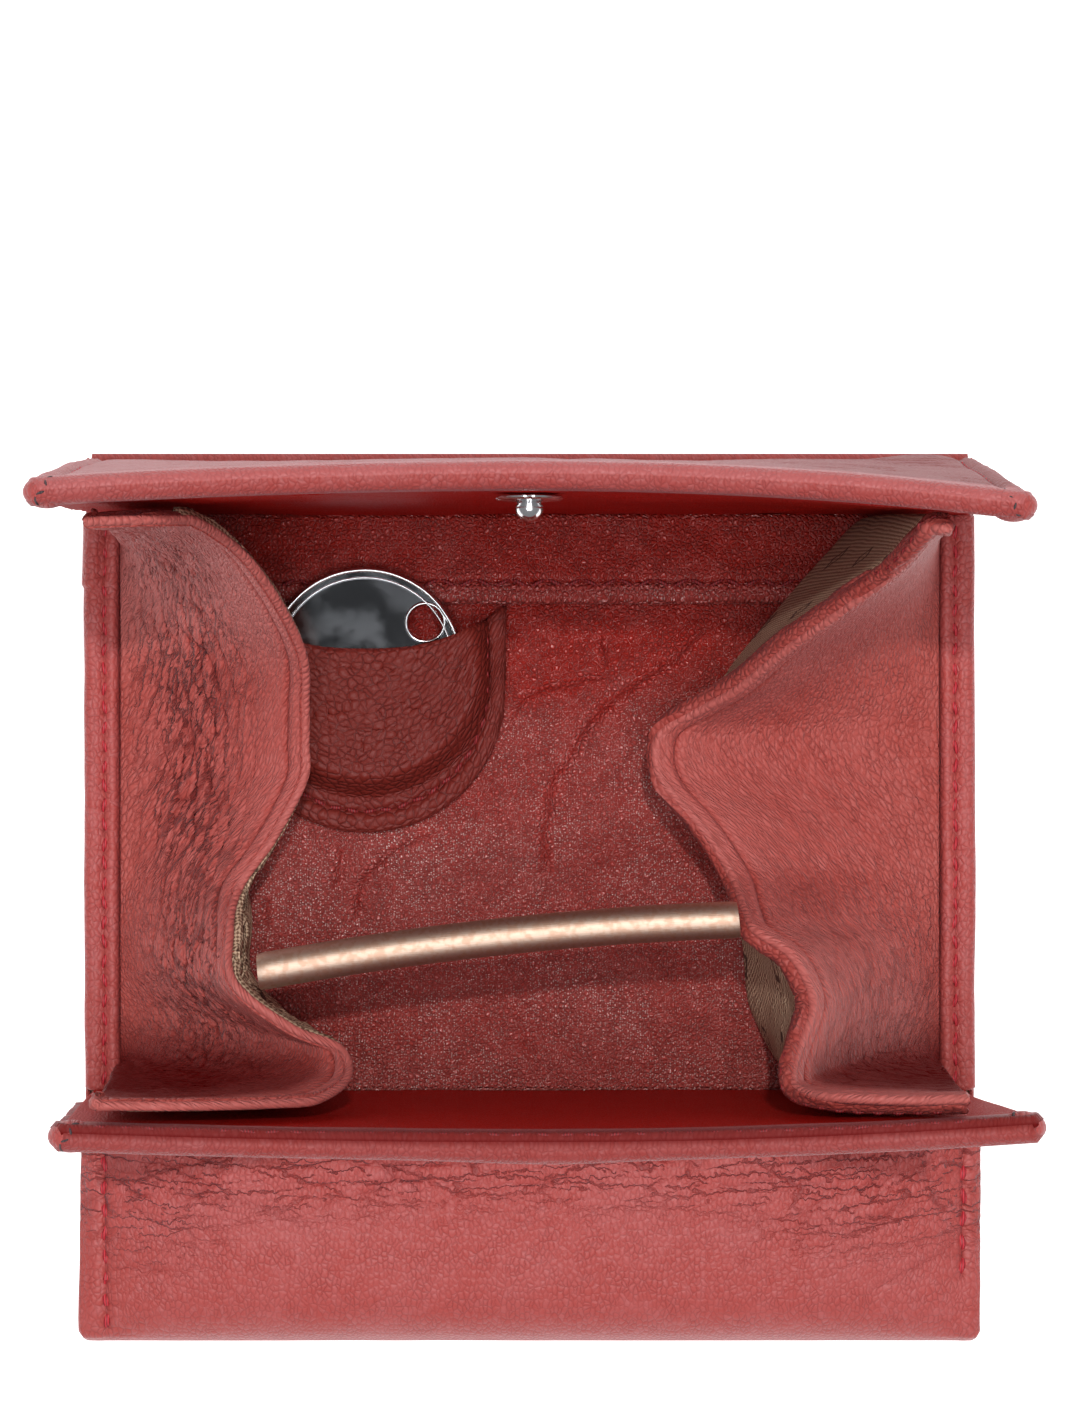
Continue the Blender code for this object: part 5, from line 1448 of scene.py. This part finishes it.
def make_sides():
    """Stitched edge bands beside the gussets, and the skin over the layers below them."""
    profile = (
        (3.6, -0.35), (3.2, 0.35), (2.7, 0.55), (2.2, 0.25), (1.9, 0.0),
        (1.6, 0.2), (1.0, 0.5), (0.3, 0.45), (-0.1, 0.0), (-0.2, -0.7),
    )
    inward, lift = spline(profile, np.linspace(0, 9, 46)).T[:, None]
    for name, side in SIDES:
        ys = np.linspace(FRONT_Y + 0.2, BACK_Y - 0.1, 340)
        y = ys[:, None] + 0 * inward
        wander = 0.18 * clouds(y, 0 * y + side * 9, 11.0, 401)
        x = BODY_X + side * (BODY_HALF - inward - 0.25 + wander)
        z = FLOOR_Z + 0.05 + lift + 0.14 * clouds(x * 2, y, 3.0, 403)
        if side < 0:
            step = smooth(14.6, 15.2, y)
            z = z + 0.6 * step * bump_at(inward, 0.9, 1.0)
            x = x - 0.25 * step * (inward < 1.4)
        uneven = y + 0.2 * clouds(y, x, 5.0, 405)
        holes = pulse(uneven, BINDING_PITCH, 0.3) * bump_at(inward, BINDING_SEAM, 0.3)
        puckers = pulse(y, BINDING_PITCH, 0.5) * (bump_at(inward, 1.2, 0.5) + bump_at(inward, 2.5, 0.3))
        z = z - 0.35 * holes - 0.12 * puckers
        # Painted shade in the stitch holes, along the seam and in the groove at the band's inner edge
        tone = -0.9 * holes - 0.4 * bump_at(inward, BINDING_SEAM, 0.2) - 0.8 * bump_at(inward, 3.6, 0.4)
        looks = (0.7, OUTER, "outer_leather", "root", [f"binding_{name}"])
        sheet(f"binding_skin_{name}", stacked(x, y, z), *looks, tone=tone)
        drift = 0.12 * clouds(ys, 0 * ys + side, 5.0, 407)
        line = stacked(BODY_X + side * (BODY_HALF - 2.15) + drift, ys, FLOOR_Z + 0.5)
        seam = (line, (0, 0, 1), THREAD, BINDING_PITCH, 0.82, 0.3)
        settle(stitch_row(f"binding_stitches_{name}", *seam, sway=0.22, lift=0.05), "outer_leather", "root")

        ys = np.linspace(BOTTOM_Y + 7.5, TOP_EDGE_Y - 0.6, 90)
        y, z = np.meshgrid(ys, np.linspace(0.9, FLOOR_Z - 0.7, 16))
        half = BODY_HALF - 0.1 + 0.12 * clouds(y, z * 2, 9.0, 411) + 0.25 * bump_at(z, 4.6, 2.5)
        sheet(f"side_edge_{name}", stacked(BODY_X + side * half, y, z), 0.5, OUTER, "outer_leather", "root")


def make_layers():
    """Leather and board layers of the rear section, with soft rounded edges."""
    layers = (
        ("back_lining", FABRIC, "lining_fabric", "outer_leather"),
        ("card_pocket_low", INNER, "inner_leather", "back_lining"),
        ("card_pocket_mid", INNER, "inner_leather", "card_pocket_low"),
        ("card_pocket_high", INNER, "inner_leather", "card_pocket_mid"),
        ("bill_divider", INNER, "inner_leather", "card_pocket_high"),
        ("base_board", BOARD, "board", "bill_divider"),
    )
    for node, material, slot, below in layers:
        low, high = box_mm(node)
        xs, ys = (np.linspace(low[k] + 0.4, high[k] - 0.4, count) for k, count in ((0, 60), (1, 50)))
        x, y = np.meshgrid(xs, ys)
        grid = stacked(x, y, (low[2] + high[2]) / 2 + 0.06 * clouds(x, y, 15.0, 501))
        held = None if material is BOARD else "laid"
        sheet(f"{node}_layer", grid, (high - low)[2] * 0.9, material, slot, "root", [node], held, [below])


def make_panel_lining():
    """Woven lining under the puffed front panel."""
    low, high = box_mm("front_panel_lining")
    path = panel_path()
    path = path[(path[:, 1] > 8) & (path[:, 0] > low[1]) & (path[:, 0] < high[1])]
    shares = np.linspace(-1, 1, 90)[None, :]
    half = (high[0] - low[0]) / 2
    x = (low[0] + high[0]) / 2 + shares * half
    grid = stacked(x, path[:, :1], pinched(path[:, 1:], shares * half / PANEL_HALF) - 1.7)
    nodes = ["front_panel_lining"]
    sheet("panel_lining", grid, 0.35, FABRIC, "lining_fabric", "root", nodes, "folded", ["base_board"])


def make_paddings():
    """Crowned pads in the flap's thick root and in the fixed band below it."""
    shares = even_columns(81, 0.2)
    across = np.clip(1 - shares[None, :] ** 8, 0, 1)
    high = np.linspace(FLAP.hinge + 0.6, FLAP.hinge + 24.0, 40)
    low = np.linspace(0.3, FLAP.hinge - 0.4, 24)
    pads = (
        ("flap", high, 2.4, np.maximum(flap_line(high) - SKIN_T / 2 - 0.4 - 2.4, 0.25), "flap"),
        ("spine", low, 1.3, np.full(24, 2.6), "root"),
    )
    for name, heights, near, room, body in pads:
        room = room[:, None]
        ends = np.clip(1 - (2 * (heights - heights[0]) / (heights[-1] - heights[0]) - 1) ** 6, 0, 1)
        thick = room * (0.3 + 0.7 * ends[:, None] * across)
        grid = upright_grid(FLAP, shares, near + room / 2 + 0 * across, heights, 2.2)
        pad = sheet(f"{name}_pad", grid, thick, FLEECE, "fleece", body, [f"{name}_padding"])


def make_hidden():
    """Finishes for the stiff pieces inside the panels and for the token's body."""
    finishes = (
        (BOARD, ("flap_stiffener", "wall_stiffener")),
        (CHROME, ("stud_back_plate", "snap_socket", "socket_spring")),
        (DARK_CHROME, ("trolley_token",)),
    )
    for material, nodes in finishes:
        for node in nodes:
            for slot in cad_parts[node].material_slots:
                slot.material = material


def open_shade():
    """The front wall keeps no key light off the front panel, which is evenly lit in the photograph."""
    shade = bpy.data.collections.new("key_passes")
    wall = ("front_skin", "wall_inner", "wall_hem_stitches", "front_wall_ear_left", "front_wall_ear_right")
    inside = ("wall_stiffener", "snap_socket", "socket_spring")
    for piece in [bpy.data.objects[name] for name in wall] + [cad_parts[name] for name in inside]:
        shade.objects.link(piece)
    for item in shade.collection_objects:
        item.light_linking.link_state = "EXCLUDE"
    bpy.data.objects["key"].light_linking.blocker_collection = shade


make_stage()
make_flap()
make_paddings()
make_front_skin()
make_ears()
for (name, side), table, relief in zip(SIDES, (LEFT_ROWS, RIGHT_ROWS), (left_relief, right_relief)):
    make_gusset(name, side, table, relief)
make_floor()
make_pocket()
make_token()
make_stud()
make_rod()
make_sides()
make_layers()
make_panel_lining()
make_hidden()
open_shade()
